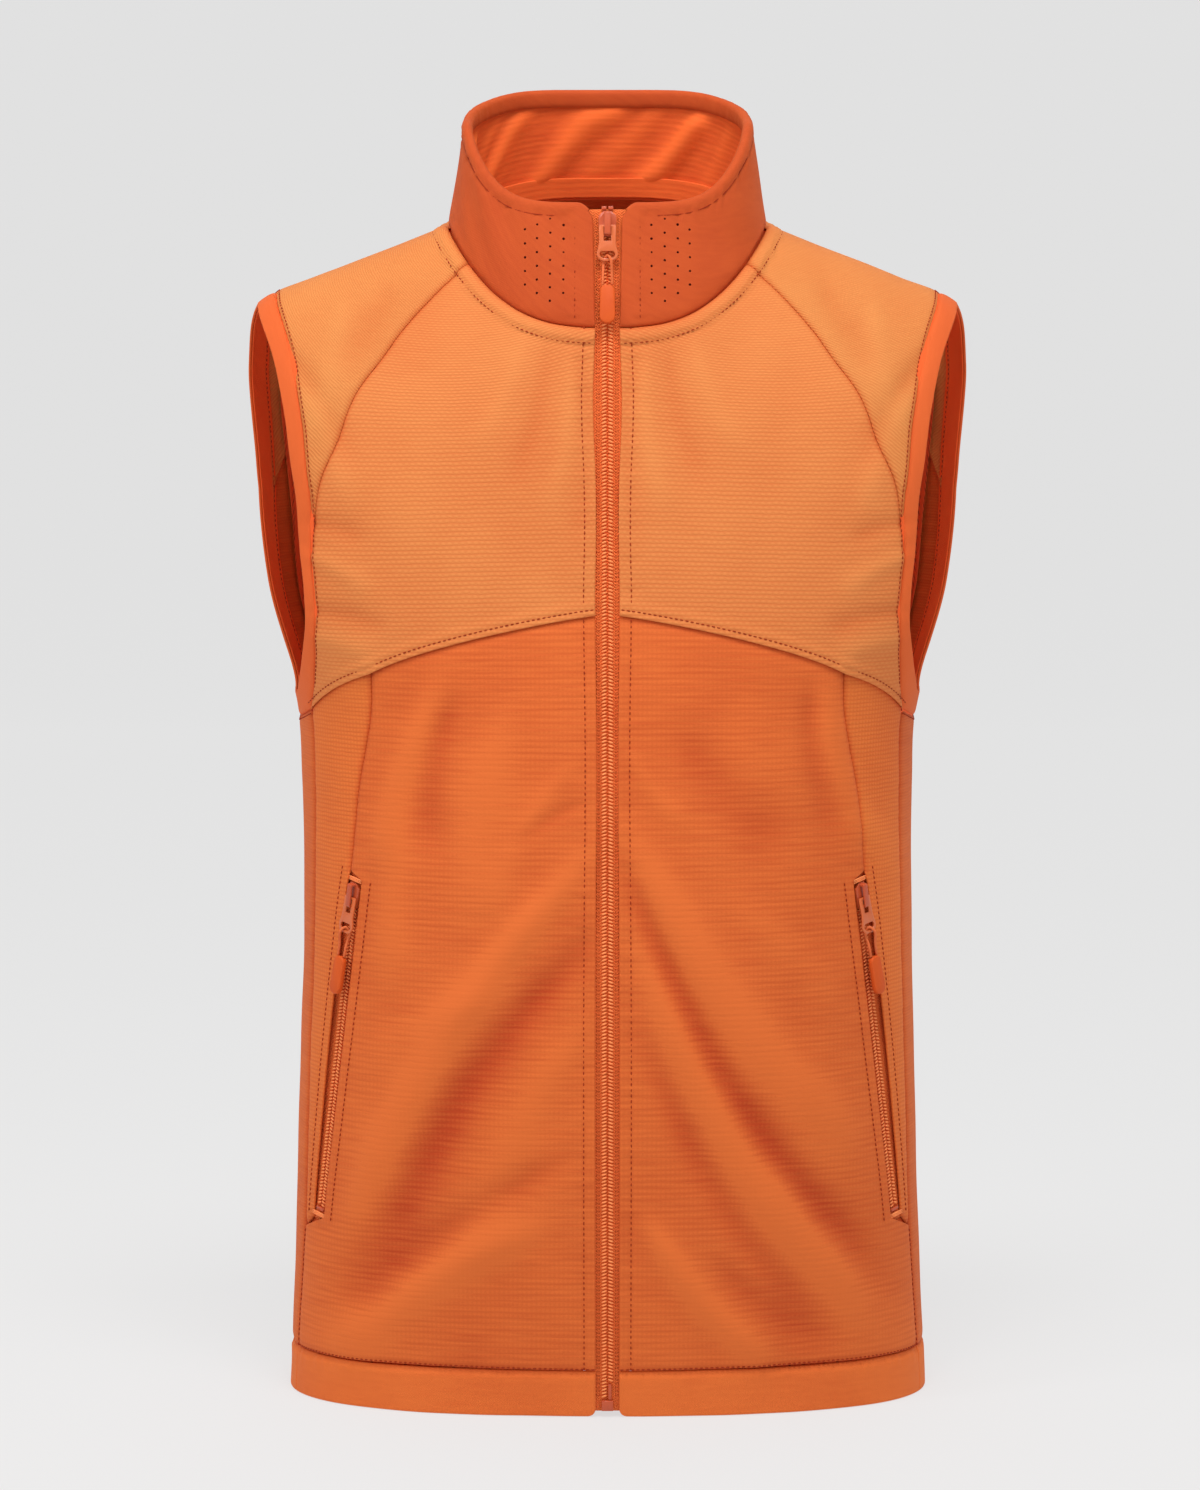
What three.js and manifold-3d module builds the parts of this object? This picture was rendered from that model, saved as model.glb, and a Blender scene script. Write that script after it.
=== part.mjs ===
// A sleeveless zip-front vest, standing open on its hem as on an unseen form.
// Millimetres, +Z up, the zip faces -Y and the wearer's left is +X.
import * as THREE from 'three';
import Module from 'manifold-3d';

const wasm = await Module();
wasm.setup();
const { Manifold, Mesh: SolidMesh } = wasm;

// Driving sizes. The front edge is one circular arc, so that the zip slider can follow it.
const overallWidthScale = 1;
const frontArcRadius = 1500;
const frontArcHeight = 270;
const bellyDepth = 124;
const zipGap = 13.4;
const shellThickness = 1.8;
const collarThickness = 1.6;
const liningThickness = 0.8;
const liningClearance = 1.3;
const liningSag = 7.5;
const bagSag = 5.2;
const bagClearance = 1.1;
const seamGap = 0.5;
const hemHeight = 26.5;
const chestSeamHeight = 455;
const neckFrontHeight = 614;
const collarFrontHeight = 67;
const tapeHalfWidth = 12.5;
const tapeThickness = 0.8;
const chainWidth = 6.2;
const chainMiddleGap = 1.0;
const chainThickness = 1.4;
const sliderLength = 14.5;
const sliderWidth = 10;
const sliderClearance = 0.3;
const pocketTop = 303;
const pocketBottom = 110;
const pocketOpening = 12;
const pocketSlack = 2.1;
const tabLength = 21;
const tabThickness = 1;
const cordDiameter = 1.5;
const gripLength = 22;
const gripWidth = 8.3;
const gripThickness = 3.4;

const rad = Math.PI / 180;
const mid = (a, b, u) => a + (b - a) * u;
const arcCentreY = frontArcRadius - bellyDepth;

function frontY(z) {
  return arcCentreY - Math.sqrt(frontArcRadius ** 2 - (z - frontArcHeight) ** 2);
}

// The body as loops from hem to neck: height at front, side and back, half width,
// back depth, squareness of the loop, and how far back its widest point lies.
const loops = [
  { front: 0, side: 0, back: 0, half: 184.5, depth: 104, square: 2.45, shift: 0 },
  { front: 95, side: 95, back: 95, half: 180.5, depth: 104, square: 2.45, shift: 0 },
  { front: 190, side: 190, back: 190, half: 177.5, depth: 102, square: 2.45, shift: 0 },
  { front: 295, side: 295, back: 295, half: 175, depth: 103, square: 2.45, shift: 0 },
  { front: 352, side: 355, back: 355, half: 175.5, depth: 108, square: 2.45, shift: 0 },
  { front: 397, side: 402, back: 402, half: 179, depth: 112, square: 2.5, shift: 0 },
  { front: 440, side: 465, back: 465, half: 203, depth: 115, square: 2.55, shift: 0 },
  { front: 482, side: 533, back: 530, half: 214, depth: 114, square: 2.6, shift: 0 },
  { front: 520, side: 590, back: 586, half: 216, depth: 108, square: 2.6, shift: -2 },
  { front: 551, side: 626, back: 630, half: 199.5, depth: 99, square: 2.5, shift: -4 },
  { front: 575, side: 641, back: 655, half: 166, depth: 89, square: 2.4, shift: -5 },
  { front: 595, side: 655.5, back: 674, half: 128, depth: 79, square: 2.3, shift: -6 },
  { front: neckFrontHeight, side: 669, back: 688, half: 91, depth: 70, square: 2.3, shift: -7 },
];
const collarTop = {
  front: neckFrontHeight + collarFrontHeight, side: 727, back: 745,
  half: 82, depth: 60, square: 2.6, shift: -6, crown: 4.2,
};
// How flat a loop's front and back run before they turn towards its sides.
const bodyCrown = 2.6;
const sizes = ['front', 'side', 'back', 'half', 'depth', 'square', 'shift'];

function loopPlaces() {
  const places = [0];
  for (let i = 1; i < loops.length; i++) {
    const p = loops[i - 1];
    const q = loops[i];
    const step = 0.5 * Math.hypot(q.side - p.side, q.half - p.half) + 0.5 * Math.abs(q.front - p.front);
    places.push(places[i - 1] + step);
  }
  return places.map((p) => p / places[places.length - 1]);
}
const places = loopPlaces();

function slopeAt(key, k) {
  const last = places.length - 1;
  const rise = (i) => (loops[i + 1][key] - loops[i][key]) / (places[i + 1] - places[i]);
  if (k === 0) return rise(0);
  if (k === last) return rise(last - 1);
  const before = places[k] - places[k - 1];
  const after = places[k + 1] - places[k];
  return (rise(k - 1) * after + rise(k) * before) / (before + after);
}

function loopAt(t) {
  let i = 0;
  while (i < places.length - 2 && t >= places[i + 1]) i++;
  const h = places[i + 1] - places[i];
  const u = (t - places[i]) / h;
  const out = {};
  for (const key of sizes) {
    out[key] = (2 * u ** 3 - 3 * u * u + 1) * loops[i][key]
      + (u ** 3 - 2 * u * u + u) * h * slopeAt(key, i)
      + (3 * u * u - 2 * u ** 3) * loops[i + 1][key]
      + (u ** 3 - u * u) * h * slopeAt(key, i + 1);
  }
  return out;
}

// A point of a loop; angle in degrees: 0 at the zip, 90 at +X, 180 at the centre back.
function onLoop(k, angle) {
  const s = Math.sin(angle * rad);
  const c = Math.cos(angle * rad);
  const reach = Math.abs(c) ** (2 / k.square);
  const rise = 1 - Math.abs(s) ** (k.crown ?? bodyCrown);
  const x = k.half * overallWidthScale * Math.sign(s) * Math.abs(s) ** (2 / k.square);
  const ahead = c >= 0;
  const far = ahead ? frontY(k.front) : k.depth;
  const height = ahead ? k.front : k.back;
  return new THREE.Vector3(x, k.shift + (far - k.shift) * reach, k.side + (height - k.side) * rise);
}

const body = (angle, t) => onLoop(loopAt(t), angle);
function collar(angle, u) {
  const k = {};
  const from = loops[loops.length - 1];
  for (const key of sizes) k[key] = mid(from[key], collarTop[key], u);
  k.crown = mid(bodyCrown, collarTop.crown, u);
  return onLoop(k, angle);
}

function outward(surface, angle, t) {
  const a = surface(angle + 0.7, t).sub(surface(angle - 0.7, t));
  const b = surface(angle, t + 0.004).sub(surface(angle, t - 0.004));
  return a.cross(b).normalize();
}
function deep(surface, angle, t, depth) {
  return surface(angle, t).addScaledVector(outward(surface, angle, t), -depth);
}

// Where the front stands at a given x and height, and any place at a given angle and height.
function atFront(x, z) {
  let low = 0;
  let high = 1;
  let angle = 0;
  for (let i = 0; i < 45; i++) {
    const t = (low + high) / 2;
    const k = loopAt(t);
    angle = Math.asin(Math.min(1, (x / (k.half * overallWidthScale)) ** (k.square / 2))) / rad;
    if (onLoop(k, angle).z < z) low = t;
    else high = t;
  }
  return [angle, (low + high) / 2];
}
function atAngle(angle, z) {
  let low = 0;
  let high = 1;
  for (let i = 0; i < 45; i++) {
    const t = (low + high) / 2;
    if (body(angle, t).z < z) low = t;
    else high = t;
  }
  return [angle, (low + high) / 2];
}

// A smooth line through places [angle, t], cut into equal steps measured on the body.
function seam(knots, steps) {
  const curve = new THREE.CatmullRomCurve3(knots.map(([a, t]) => new THREE.Vector3(a, t * 400, 0)), false, 'centripetal');
  const fine = curve.getPoints(knots.length * 24).map((p) => [p.x, p.y / 400]);
  const along = [0];
  for (let i = 1; i < fine.length; i++) {
    along.push(along[i - 1] + body(...fine[i]).distanceTo(body(...fine[i - 1])));
  }
  const out = [];
  let i = 0;
  for (let k = 0; k <= steps; k++) {
    const want = (along[along.length - 1] * k) / steps;
    while (i < fine.length - 2 && along[i + 1] < want) i++;
    const u = Math.min(1, (want - along[i]) / (along[i + 1] - along[i]));
    out.push([mid(fine[i][0], fine[i + 1][0], u), mid(fine[i][1], fine[i + 1][1], u)]);
  }
  return out;
}
const join = (...lines) => lines.reduce((all, line) => all.concat(line.slice(1)));
const back = (line) => [...line].reverse();

// Seams of the wearer's left half (+X). The right half is their mirror.
const edgeX = zipGap / 2;
const onEdge = (z) => atFront(edgeX, z);
// A place so far across the front and so high, which keeps its share of the width.
const across = (x, z) => atFront(x * overallWidthScale, z);
const neckEnd = across(83.5, 647);
const raglanFoot = [47, 0.726];
const armSeat = [68.5, 0.5795];
const raglanBackTop = [122.6, 1];
const raglanBackFoot = [115, 0.729];
const pocketTopCorner = across(145.5, 309);
const chestSeam = seam([onEdge(chestSeamHeight), across(77, 441), across(133, 421)], 8);
const chestSeamOuter = seam([across(133, 421), across(150, 413.5), armSeat], 3);
const pocketSeam = seam([pocketTopCorner, across(140, 360), across(133, 421)], 4);
const raglan = seam([raglanFoot, [43.5, 0.777], [39.9, 0.83], [42.5, 0.895], [49.7, 0.948], [neckEnd[0], 1]], 7);
const raglanBack = seam([raglanBackFoot, [121, 0.752], [130, 0.81], [133.5, 0.87], [129, 0.95], raglanBackTop], 7);
const sideLow = seam([atAngle(76, hemHeight), atAngle(75, 60), atAngle(73, 98.5)], 2);
const sideHigh = seam([atAngle(73, 98.5), atAngle(72.5, 200), atAngle(70.5, 330), armSeat], 9);
// The armhole: its open edge and the stitched line 13 mm outside it, in matching parts.
const bandFront = seam([armSeat, [62, 0.605], [53.8, 0.64], [49.5, 0.672], raglanFoot], 5);
const bandOver = seam(
  [raglanFoot, [45.6, 0.78], [49, 0.83], [60, 0.866], [75, 0.88], [94, 0.882], [109, 0.852], [116, 0.80], raglanBackFoot], 14);
const bandUnder = seam([armSeat, [78, 0.5725], [90, 0.569], [100, 0.588], [109, 0.65], raglanBackFoot], 7);
const edgeFront = seam([[76, 0.5935], [65, 0.617], [55, 0.652], [51.5, 0.685], [50.2, 0.726]], 5);
const edgeOver = seam(
  [[50.2, 0.726], [49.8, 0.78], [53, 0.821], [62, 0.851], [76, 0.864], [92, 0.866], [103, 0.84], [109, 0.80], [108.8, 0.729]], 14);
const edgeUnder = seam([[76, 0.5935], [84, 0.588], [93, 0.594], [98.5, 0.622], [104.5, 0.665], [108.8, 0.729]], 7);

// A patch of places between two edges and two ends, steps matched one to one.
function patch(inner, outer, bottom, top) {
  const rows = inner.length - 1;
  const cols = bottom.length - 1;
  const grid = [];
  for (let i = 0; i <= cols; i++) {
    const u = i / cols;
    const column = [];
    for (let j = 0; j <= rows; j++) {
      const v = j / rows;
      column.push([0, 1].map((n) => {
        const across = mid(inner[j][n], outer[j][n], u);
        const low = bottom[i][n] - mid(inner[0][n], outer[0][n], u);
        const high = top[i][n] - mid(inner[rows][n], outer[rows][n], u);
        return across + low * (1 - v) + high * v;
      }));
    }
    grid.push(column);
  }
  return grid;
}

// Moves the rim of a grid of points into its own sheet, to leave half a seam's gap.
function inset(points, gap, wrap) {
  const cols = points.length - 1;
  const rows = points[0].length - 1;
  const moved = points.map((column) => column.map((p) => p.clone()));
  const shift = (i, j, toI, toJ, alongI, alongJ) => {
    const lowI = wrap ? (i - alongI + cols) % cols : Math.max(0, i - alongI);
    const highI = wrap ? (i + alongI) % cols : Math.min(cols, i + alongI);
    const tangent = points[highI][Math.min(rows, j + alongJ)].clone()
      .sub(points[lowI][Math.max(0, j - alongJ)]).normalize();
    const inward = points[toI][toJ].clone().sub(points[i][j]);
    inward.addScaledVector(tangent, -inward.dot(tangent)).normalize();
    moved[i][j].addScaledVector(inward, gap);
  };
  for (let i = 0; i <= cols; i++) {
    shift(i, 0, i, 1, 1, 0);
    shift(i, rows, i, rows - 1, 1, 0);
  }
  if (!wrap) {
    for (let j = 0; j <= rows; j++) {
      shift(0, j, 1, j, 0, 1);
      shift(cols, j, cols - 1, j, 0, 1);
    }
  }
  return moved;
}

// A closed solid between two grids of points; wrap joins the last column to the first.
function sheetSolid(outer, inner, wrap) {
  const cols = outer.length;
  const rows = outer[0].length;
  const positions = [];
  const index = [];
  for (const layer of [outer, inner]) {
    for (const column of layer) {
      for (const p of column) positions.push(p.x, p.y, p.z);
    }
  }
  const id = (layer, i, j) => layer * cols * rows + (i % cols) * rows + j;
  const quad = (a, b, c, d) => index.push(a, b, c, a, c, d);
  const steps = wrap ? cols : cols - 1;
  for (let i = 0; i < steps; i++) {
    for (let j = 0; j < rows - 1; j++) {
      quad(id(0, i, j), id(0, i + 1, j), id(0, i + 1, j + 1), id(0, i, j + 1));
      quad(id(1, i, j), id(1, i, j + 1), id(1, i + 1, j + 1), id(1, i + 1, j));
    }
    quad(id(0, i, 0), id(1, i, 0), id(1, i + 1, 0), id(0, i + 1, 0));
    quad(id(0, i, rows - 1), id(0, i + 1, rows - 1), id(1, i + 1, rows - 1), id(1, i, rows - 1));
  }
  if (!wrap) {
    for (let j = 0; j < rows - 1; j++) {
      quad(id(0, 0, j), id(0, 0, j + 1), id(1, 0, j + 1), id(1, 0, j));
      quad(id(0, cols - 1, j), id(1, cols - 1, j), id(1, cols - 1, j + 1), id(0, cols - 1, j + 1));
    }
  }
  return closed(positions, index);
}

function closed(positions, index) {
  let volume = 0;
  const at = (i) => new THREE.Vector3().fromArray(positions, 3 * i);
  for (let f = 0; f < index.length; f += 3) {
    volume += at(index[f]).dot(at(index[f + 1]).cross(at(index[f + 2])));
  }
  if (volume < 0) {
    for (let f = 0; f < index.length; f += 3) {
      const swap = index[f + 1];
      index[f + 1] = index[f + 2];
      index[f + 2] = swap;
    }
  }
  const geometry = new THREE.BufferGeometry();
  geometry.setAttribute('position', new THREE.Float32BufferAttribute(positions, 3));
  geometry.setIndex(index);
  geometry.computeVertexNormals();
  return geometry;
}

// A sheet of fabric laid on the body at a depth; depthAt(i, j) may vary over the grid.
function fabric(grid, thickness, depthAt, surface = body, wrap = false, gap = seamGap / 2) {
  const make = (extra) => inset(
    grid.map((column, i) => column.map(([a, t], j) => deep(surface, a, t, depthAt(i, j) + extra))), gap, wrap);
  return sheetSolid(make(0), make(thickness), wrap);
}
const onSurface = () => 0;

function mirrored(geometry) {
  const copy = geometry.clone();
  const p = copy.getAttribute('position');
  for (let i = 0; i < p.count; i++) p.setX(i, -p.getX(i));
  const index = copy.getIndex().array;
  for (let f = 0; f < index.length; f += 3) {
    const swap = index[f + 1];
    index[f + 1] = index[f + 2];
    index[f + 2] = swap;
  }
  copy.computeVertexNormals();
  return copy;
}

// Panels.
function chestPanel() {
  const inner = seam([onEdge(chestSeamHeight), onEdge(535), [onEdge(613)[0], 1]], bandFront.length - 1 + 7);
  const top = seam([inner[inner.length - 1], [25, 1], [neckEnd[0], 1]], 11);
  return fabric(patch(inner, join(bandFront, raglan), join(chestSeam, chestSeamOuter), top), shellThickness, onSurface);
}

// The straight line that each pocket's zip runs on, and the edges of its opening.
const pocketHigh = body(...atAngle(51.2, pocketTop));
const pocketLow = body(...atAngle(64.2, pocketBottom));
function pocketEdge(z, side) {
  const u = (z - pocketLow.z) / (pocketHigh.z - pocketLow.z);
  const x = mid(pocketLow.x, pocketHigh.x, u);
  const angle = atFront(x, z)[0];
  const wide = body(...atAngle(angle + 1, z)).distanceTo(body(...atAngle(angle, z)));
  // the side panel's edge bows back so that the slider passes it
  const slack = side > 0 ? pocketSlack * Math.sin(Math.PI * Math.min(1, Math.max(0, u))) : 0;
  return atAngle(angle + (side * (pocketOpening / 2 + slack)) / wide, z);
}
const pocketInner = [0, 1, 2, 3, 4, 5].map((k) => pocketEdge(mid(pocketBottom - 3, pocketTop + 1, k / 5), -1));
const pocketOuter = [0, 1, 2, 3, 4, 5].map((k) => pocketEdge(mid(pocketBottom - 3, pocketTop + 6, k / 5), 1));

function frontPanel() {
  const inner = seam([onEdge(hemHeight), onEdge(240), onEdge(chestSeamHeight)], 13);
  const outer = [...sideLow, ...pocketInner, ...pocketSeam];
  const bottom = seam([onEdge(hemHeight), atAngle(35, hemHeight + 1), atAngle(76, hemHeight)], 8);
  return fabric(patch(inner, outer, bottom, chestSeam), shellThickness, onSurface);
}

function sideFrontPanel() {
  const inner = join([...pocketOuter.slice(0, -1), pocketSeam[0]], pocketSeam);
  const bottom = seam([inner[0], sideHigh[0]], 3);
  return fabric(patch(inner, sideHigh, bottom, chestSeamOuter), shellThickness, onSurface);
}

function shoulderPanel() {
  const steps = bandOver.length - 1;
  const neck = seam([[neckEnd[0], 1], [90, 1], raglanBackTop], steps);
  return fabric(patch(neck, bandOver, back(raglan), back(raglanBack)), shellThickness, onSurface);
}

const farSide = (line) => line.map(([a, t]) => [360 - a, t]);
function backPanel() {
  const edge = join(sideLow, sideHigh, bandUnder, raglanBack);
  const bottom = seam([sideLow[0], [180, sideLow[0][1]], [360 - sideLow[0][0], sideLow[0][1]]], 18);
  const top = seam([raglanBackTop, [180, 1], [360 - raglanBackTop[0], 1]], 18);
  const grid = patch(edge, farSide(edge), bottom, top);
  // rows keep level at the centre back even where the armholes bend the edges
  const rows = edge.length - 1;
  for (let i = 0; i <= 18; i++) {
    const middle = Math.sin((Math.PI * i) / 18) ** 0.6;
    for (let j = 0; j <= rows; j++) {
      const level = mid(bottom[i][1], 1, j / rows);
      grid[i][j][1] = mid(grid[i][j][1], level, middle);
    }
  }
  return fabric(grid, shellThickness, onSurface);
}

function hemBand(from, to, steps) {
  const low = seam([[from, 0.0006], [(from + to) / 2, 0.0006], [to, 0.0006]], steps);
  const grid = low.map(([a]) => [[a, -0.000366], atAngle(a, hemHeight)]);
  return fabric(grid, shellThickness, onSurface);
}

function armholeBand() {
  const outer = join(back(bandFront), bandUnder, back(bandOver)).slice(0, -1);
  const inner = join(back(edgeFront), edgeUnder, back(edgeOver)).slice(0, -1);
  const grid = outer.map((p, i) => [p, inner[i]]);
  return fabric(grid, shellThickness, onSurface, body, true);
}

// Collar: outer shell, brushed lining and the tape over the neck seam inside.
function collarSheet(startX, thickness, depth, low, high, steps) {
  const first = Math.asin((startX / loops[loops.length - 1].half) ** 1.15) / rad;
  const grid = [];
  for (let i = 0; i <= steps; i++) {
    const angle = mid(first, 360 - first, i / steps);
    grid.push([0, 1, 2].map((j) => [angle, mid(low, high, j / 2)]));
  }
  return fabric(grid, thickness, () => depth, collar);
}

function neckTape() {
  const grid = [];
  for (let i = 0; i <= 14; i++) grid.push([[mid(100, 260, i / 14), 0.03], [mid(100, 260, i / 14), 0.17]]);
  return fabric(grid, 0.6, () => collarThickness + liningThickness + 1.55, collar);
}

// Linings hang a little inside the shell and come up to it at their rims.
// Down the side seams, below the armholes, their upright rims stay in at full depth.
function hungSheet(grid, sag, sideRows, bothSides) {
  const cols = grid.length - 1;
  const rows = grid[0].length - 1;
  const depthAt = (i, j) => {
    const upright = Math.min(bothSides ? i : 9, cols - i);
    const free = upright === 0 && j > 0 && j <= sideRows;
    const rim = Math.min(i, cols - i, j, rows - j);
    const reach = upright === 0 ? liningClearance + 1.8 * overallWidthScale ** 4 : liningClearance;
    return shellThickness + reach + (rim > 0 || free ? sag : 0);
  };
  return fabric(grid, liningThickness, depthAt);
}

function frontLining() {
  const startX = tapeHalfWidth + 1.2;
  const inner = [36, 90, 150, 210, 270, 330, 380, 430, 470, 515, 560, 600].map((z) => atFront(startX, z));
  const outer = [atAngle(74, 36), atAngle(72.5, 90), atAngle(71.5, 150), atAngle(71, 210), atAngle(70.5, 270),
    atAngle(69.5, 330), atAngle(67, 380), [54, 0.61], [46, 0.655], [42.5, 0.71], [38, 0.80], [50, 0.972]];
  const bottom = seam([inner[0], outer[0]], 9);
  const top = seam([inner[11], outer[11]], 9);
  return hungSheet(patch(inner, outer, bottom, top), liningSag, 6, false);
}

function backLining() {
  const edge = [atAngle(76.5, 36), atAngle(75, 90), atAngle(74, 150), atAngle(73.5, 210), atAngle(73, 270),
    atAngle(72, 330), [76, 0.548], [102, 0.565], [113, 0.62], [119.5, 0.69], [121, 0.76], [121, 0.83], [122, 0.9],
    [124, 0.975]];
  const bottom = seam([edge[0], [180, edge[0][1]], farSide(edge)[0]], 16);
  const top = seam([edge[13], [180, 0.975], farSide(edge)[13]], 16);
  const grid = patch(edge, farSide(edge), bottom, top);
  for (let i = 0; i <= 16; i++) {
    const middle = Math.sin((Math.PI * i) / 16) ** 0.6;
    for (let j = 0; j <= 13; j++) grid[i][j][1] = mid(grid[i][j][1], mid(edge[0][1], 0.975, j / 13), middle);
  }
  return hungSheet(grid, liningSag, 6, true);
}

function pocketBag() {
  const columns = [0, 0.1, 0.28, 0.46, 0.64, 0.8, 0.93, 1];
  const heights = [58, 98, 130, 170, 215, 265, 318, 332];
  const grid = columns.map((u) => heights.map((z) => atAngle(mid(20, mid(74.5, 66, (z - 58) / 274), u), z)));
  const depthAt = (i, j) => shellThickness + bagClearance * overallWidthScale + (Math.min(i, 7 - i, j, 7 - j) > 0 ? bagSag : 0);
  return fabric(grid, 0.6, depthAt);
}

// Zip parts are drawn as outlines across the zip: x, then n out of the fabric.
// A frame says where the zip's line is, and which ways are across, out and up along it.
function mainFrame(angle) {
  return {
    origin: new THREE.Vector3(0, arcCentreY - frontArcRadius * Math.cos(angle), frontArcHeight + frontArcRadius * Math.sin(angle)),
    across: new THREE.Vector3(1, 0, 0),
    out: new THREE.Vector3(0, -Math.cos(angle), Math.sin(angle)),
    up: new THREE.Vector3(0, Math.sin(angle), Math.cos(angle)),
  };
}
const arcAngle = (z) => Math.asin((z - frontArcHeight) / frontArcRadius);

const pocketUp = pocketHigh.clone().sub(pocketLow).normalize();
const pocketMiddle = atFront(mid(pocketLow.x, pocketHigh.x, 0.5), mid(pocketLow.z, pocketHigh.z, 0.5));
const pocketOut = outward(body, ...pocketMiddle);
pocketOut.addScaledVector(pocketUp, -pocketOut.dot(pocketUp)).normalize();
const pocketAcross = pocketUp.clone().cross(pocketOut);
const pocketSink = 1.1;
function pocketFrame(along) {
  return {
    origin: pocketLow.clone().addScaledVector(pocketUp, along).addScaledVector(pocketOut, -pocketSink),
    across: pocketAcross, out: pocketOut, up: pocketUp,
  };
}
const pocketLength = pocketHigh.distanceTo(pocketLow);

function place(frame, x, n, up = 0) {
  return frame.origin.clone().addScaledVector(frame.across, x).addScaledVector(frame.out, n).addScaledVector(frame.up, up);
}

// Sweeps outlines (lists of [x, n]) through frames and closes both ends.
function sweep(frames, outlineAt) {
  const positions = [];
  const index = [];
  const count = outlineAt(0).length;
  const flip = THREE.ShapeUtils.area(outlineAt(0).map(([x, n]) => new THREE.Vector2(x, n))) < 0;
  const ordered = (k) => (flip ? [...outlineAt(k)].reverse() : outlineAt(k));
  frames.forEach((frame, k) => {
    for (const [x, n] of ordered(k)) positions.push(...place(frame, x, n).toArray());
  });
  for (let k = 0; k < frames.length - 1; k++) {
    for (let i = 0; i < count; i++) {
      const a = k * count + i;
      const b = k * count + ((i + 1) % count);
      index.push(a, b, b + count, a, b + count, a + count);
    }
  }
  const last = (frames.length - 1) * count;
  const faces = THREE.ShapeUtils.triangulateShape(ordered(0).map(([x, n]) => new THREE.Vector2(x, n)), []);
  for (const [a, b, c] of faces) index.push(b, a, c, last + a, last + b, last + c);
  return closed(positions, index);
}

function mainFrames(lowZ, highZ, steps) {
  return Array.from({ length: steps + 1 }, (_, k) => mainFrame(mid(arcAngle(lowZ), arcAngle(highZ), k / steps)));
}
function pocketFrames(low, high, steps) {
  return Array.from({ length: steps + 1 }, (_, k) => pocketFrame(mid(low, high, k / steps)));
}

const tapeTop = -(shellThickness + sliderClearance);
const tapeEdge = 0.8;
const chainFoot = tapeTop + sliderClearance;
const chainTop = chainFoot + chainThickness;
const collarTopZ = collarTop.front;
const boxTop = 9.5;

const box2d = (x0, x1, n0, n1) => [[x0, n0], [x1, n0], [x1, n1], [x0, n1]];
const bead = (x0, x1, n0, n1) => [[x0, n0], [x1, n0], [x1, mid(n0, n1, 0.6)], [mid(x0, x1, 0.75), n1],
  [mid(x0, x1, 0.25), n1], [x0, mid(n0, n1, 0.6)]];

// The tape's outer edge turns back with the narrower neck and collar.
function mainTape() {
  const frames = mainFrames(2.5, collarTopZ - 1, 20);
  const outline = (k) => {
    const high = Math.min(1, Math.max(0, (frames[k].origin.z - 480) / 110));
    const drop = 0.75 * high;
    return [[tapeEdge, tapeTop - tapeThickness], [5.2, tapeTop - tapeThickness],
      [tapeHalfWidth, tapeTop - tapeThickness - drop], [tapeHalfWidth, tapeTop - drop], [5.2, tapeTop], [tapeEdge, tapeTop]];
  };
  return sweep(frames, outline);
}
function mainChain(lowZ) {
  return sweep(mainFrames(lowZ, collarTopZ - 2.2, 20), () => bead(chainMiddleGap / 2, chainWidth / 2, chainFoot, chainTop));
}

// Each pocket tape is flat under the chain, then follows the panel it is sewn to.
function pocketTape(side) {
  const frames = pocketFrames(-6, pocketLength + 3, 9);
  const flat = 4.9;
  const reach = 11.5;
  const outline = (k) => {
    const p = place(frames[k], side * reach, 0);
    const near = atAngle(Math.atan2(p.x / 180, -p.y / 118) / rad, p.z);
    let best = near;
    let least = 1e9;
    for (let d = -12; d <= 12; d += 0.25) {
      const tryAt = atAngle(near[0] + d, p.z);
      const gap = Math.abs(body(...tryAt).sub(p).dot(pocketAcross));
      if (gap < least) {
        least = gap;
        best = tryAt;
      }
    }
    const height = body(...best).sub(p).dot(pocketOut) - shellThickness - 0.95;
    const top = -(shellThickness + sliderClearance);
    const s = side;
    return [[s * tapeEdge, top - tapeThickness], [s * flat, top - tapeThickness], [s * reach, height - tapeThickness],
      [s * reach, height], [s * flat, top], [s * tapeEdge, top]];
  };
  return sweep(frames, outline);
}
function pocketChain(side) {
  const x0 = side > 0 ? chainMiddleGap / 2 : -chainWidth / 2;
  const x1 = side > 0 ? chainWidth / 2 : -chainMiddleGap / 2;
  return sweep(pocketFrames(3, pocketLength - 0.3, 4), () => bead(x0, x1, chainFoot, chainTop));
}

// Solids for the slider, drawn in the frame's own axes: x across, y out, z up.
function prism(points, low, high, turn) {
  const shape = new THREE.Shape(points.map(([a, b]) => new THREE.Vector2(a, b)));
  const g = new THREE.ExtrudeGeometry(shape, { depth: high - low, bevelEnabled: false, steps: 1 });
  g.translate(0, 0, low);
  const p = g.getAttribute('position');
  for (let i = 0; i < p.count; i++) {
    const v = [p.getX(i), p.getY(i), p.getZ(i)];
    const w = turn(v);
    p.setXYZ(i, w[0], w[1], w[2]);
  }
  return welded(g);
}
const alongUp = ([x, n, u]) => [x, n, u];
const alongAcross = ([n, u, x]) => [x, n, u];
const alongOut = ([x, u, n]) => [x, n, u];

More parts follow.
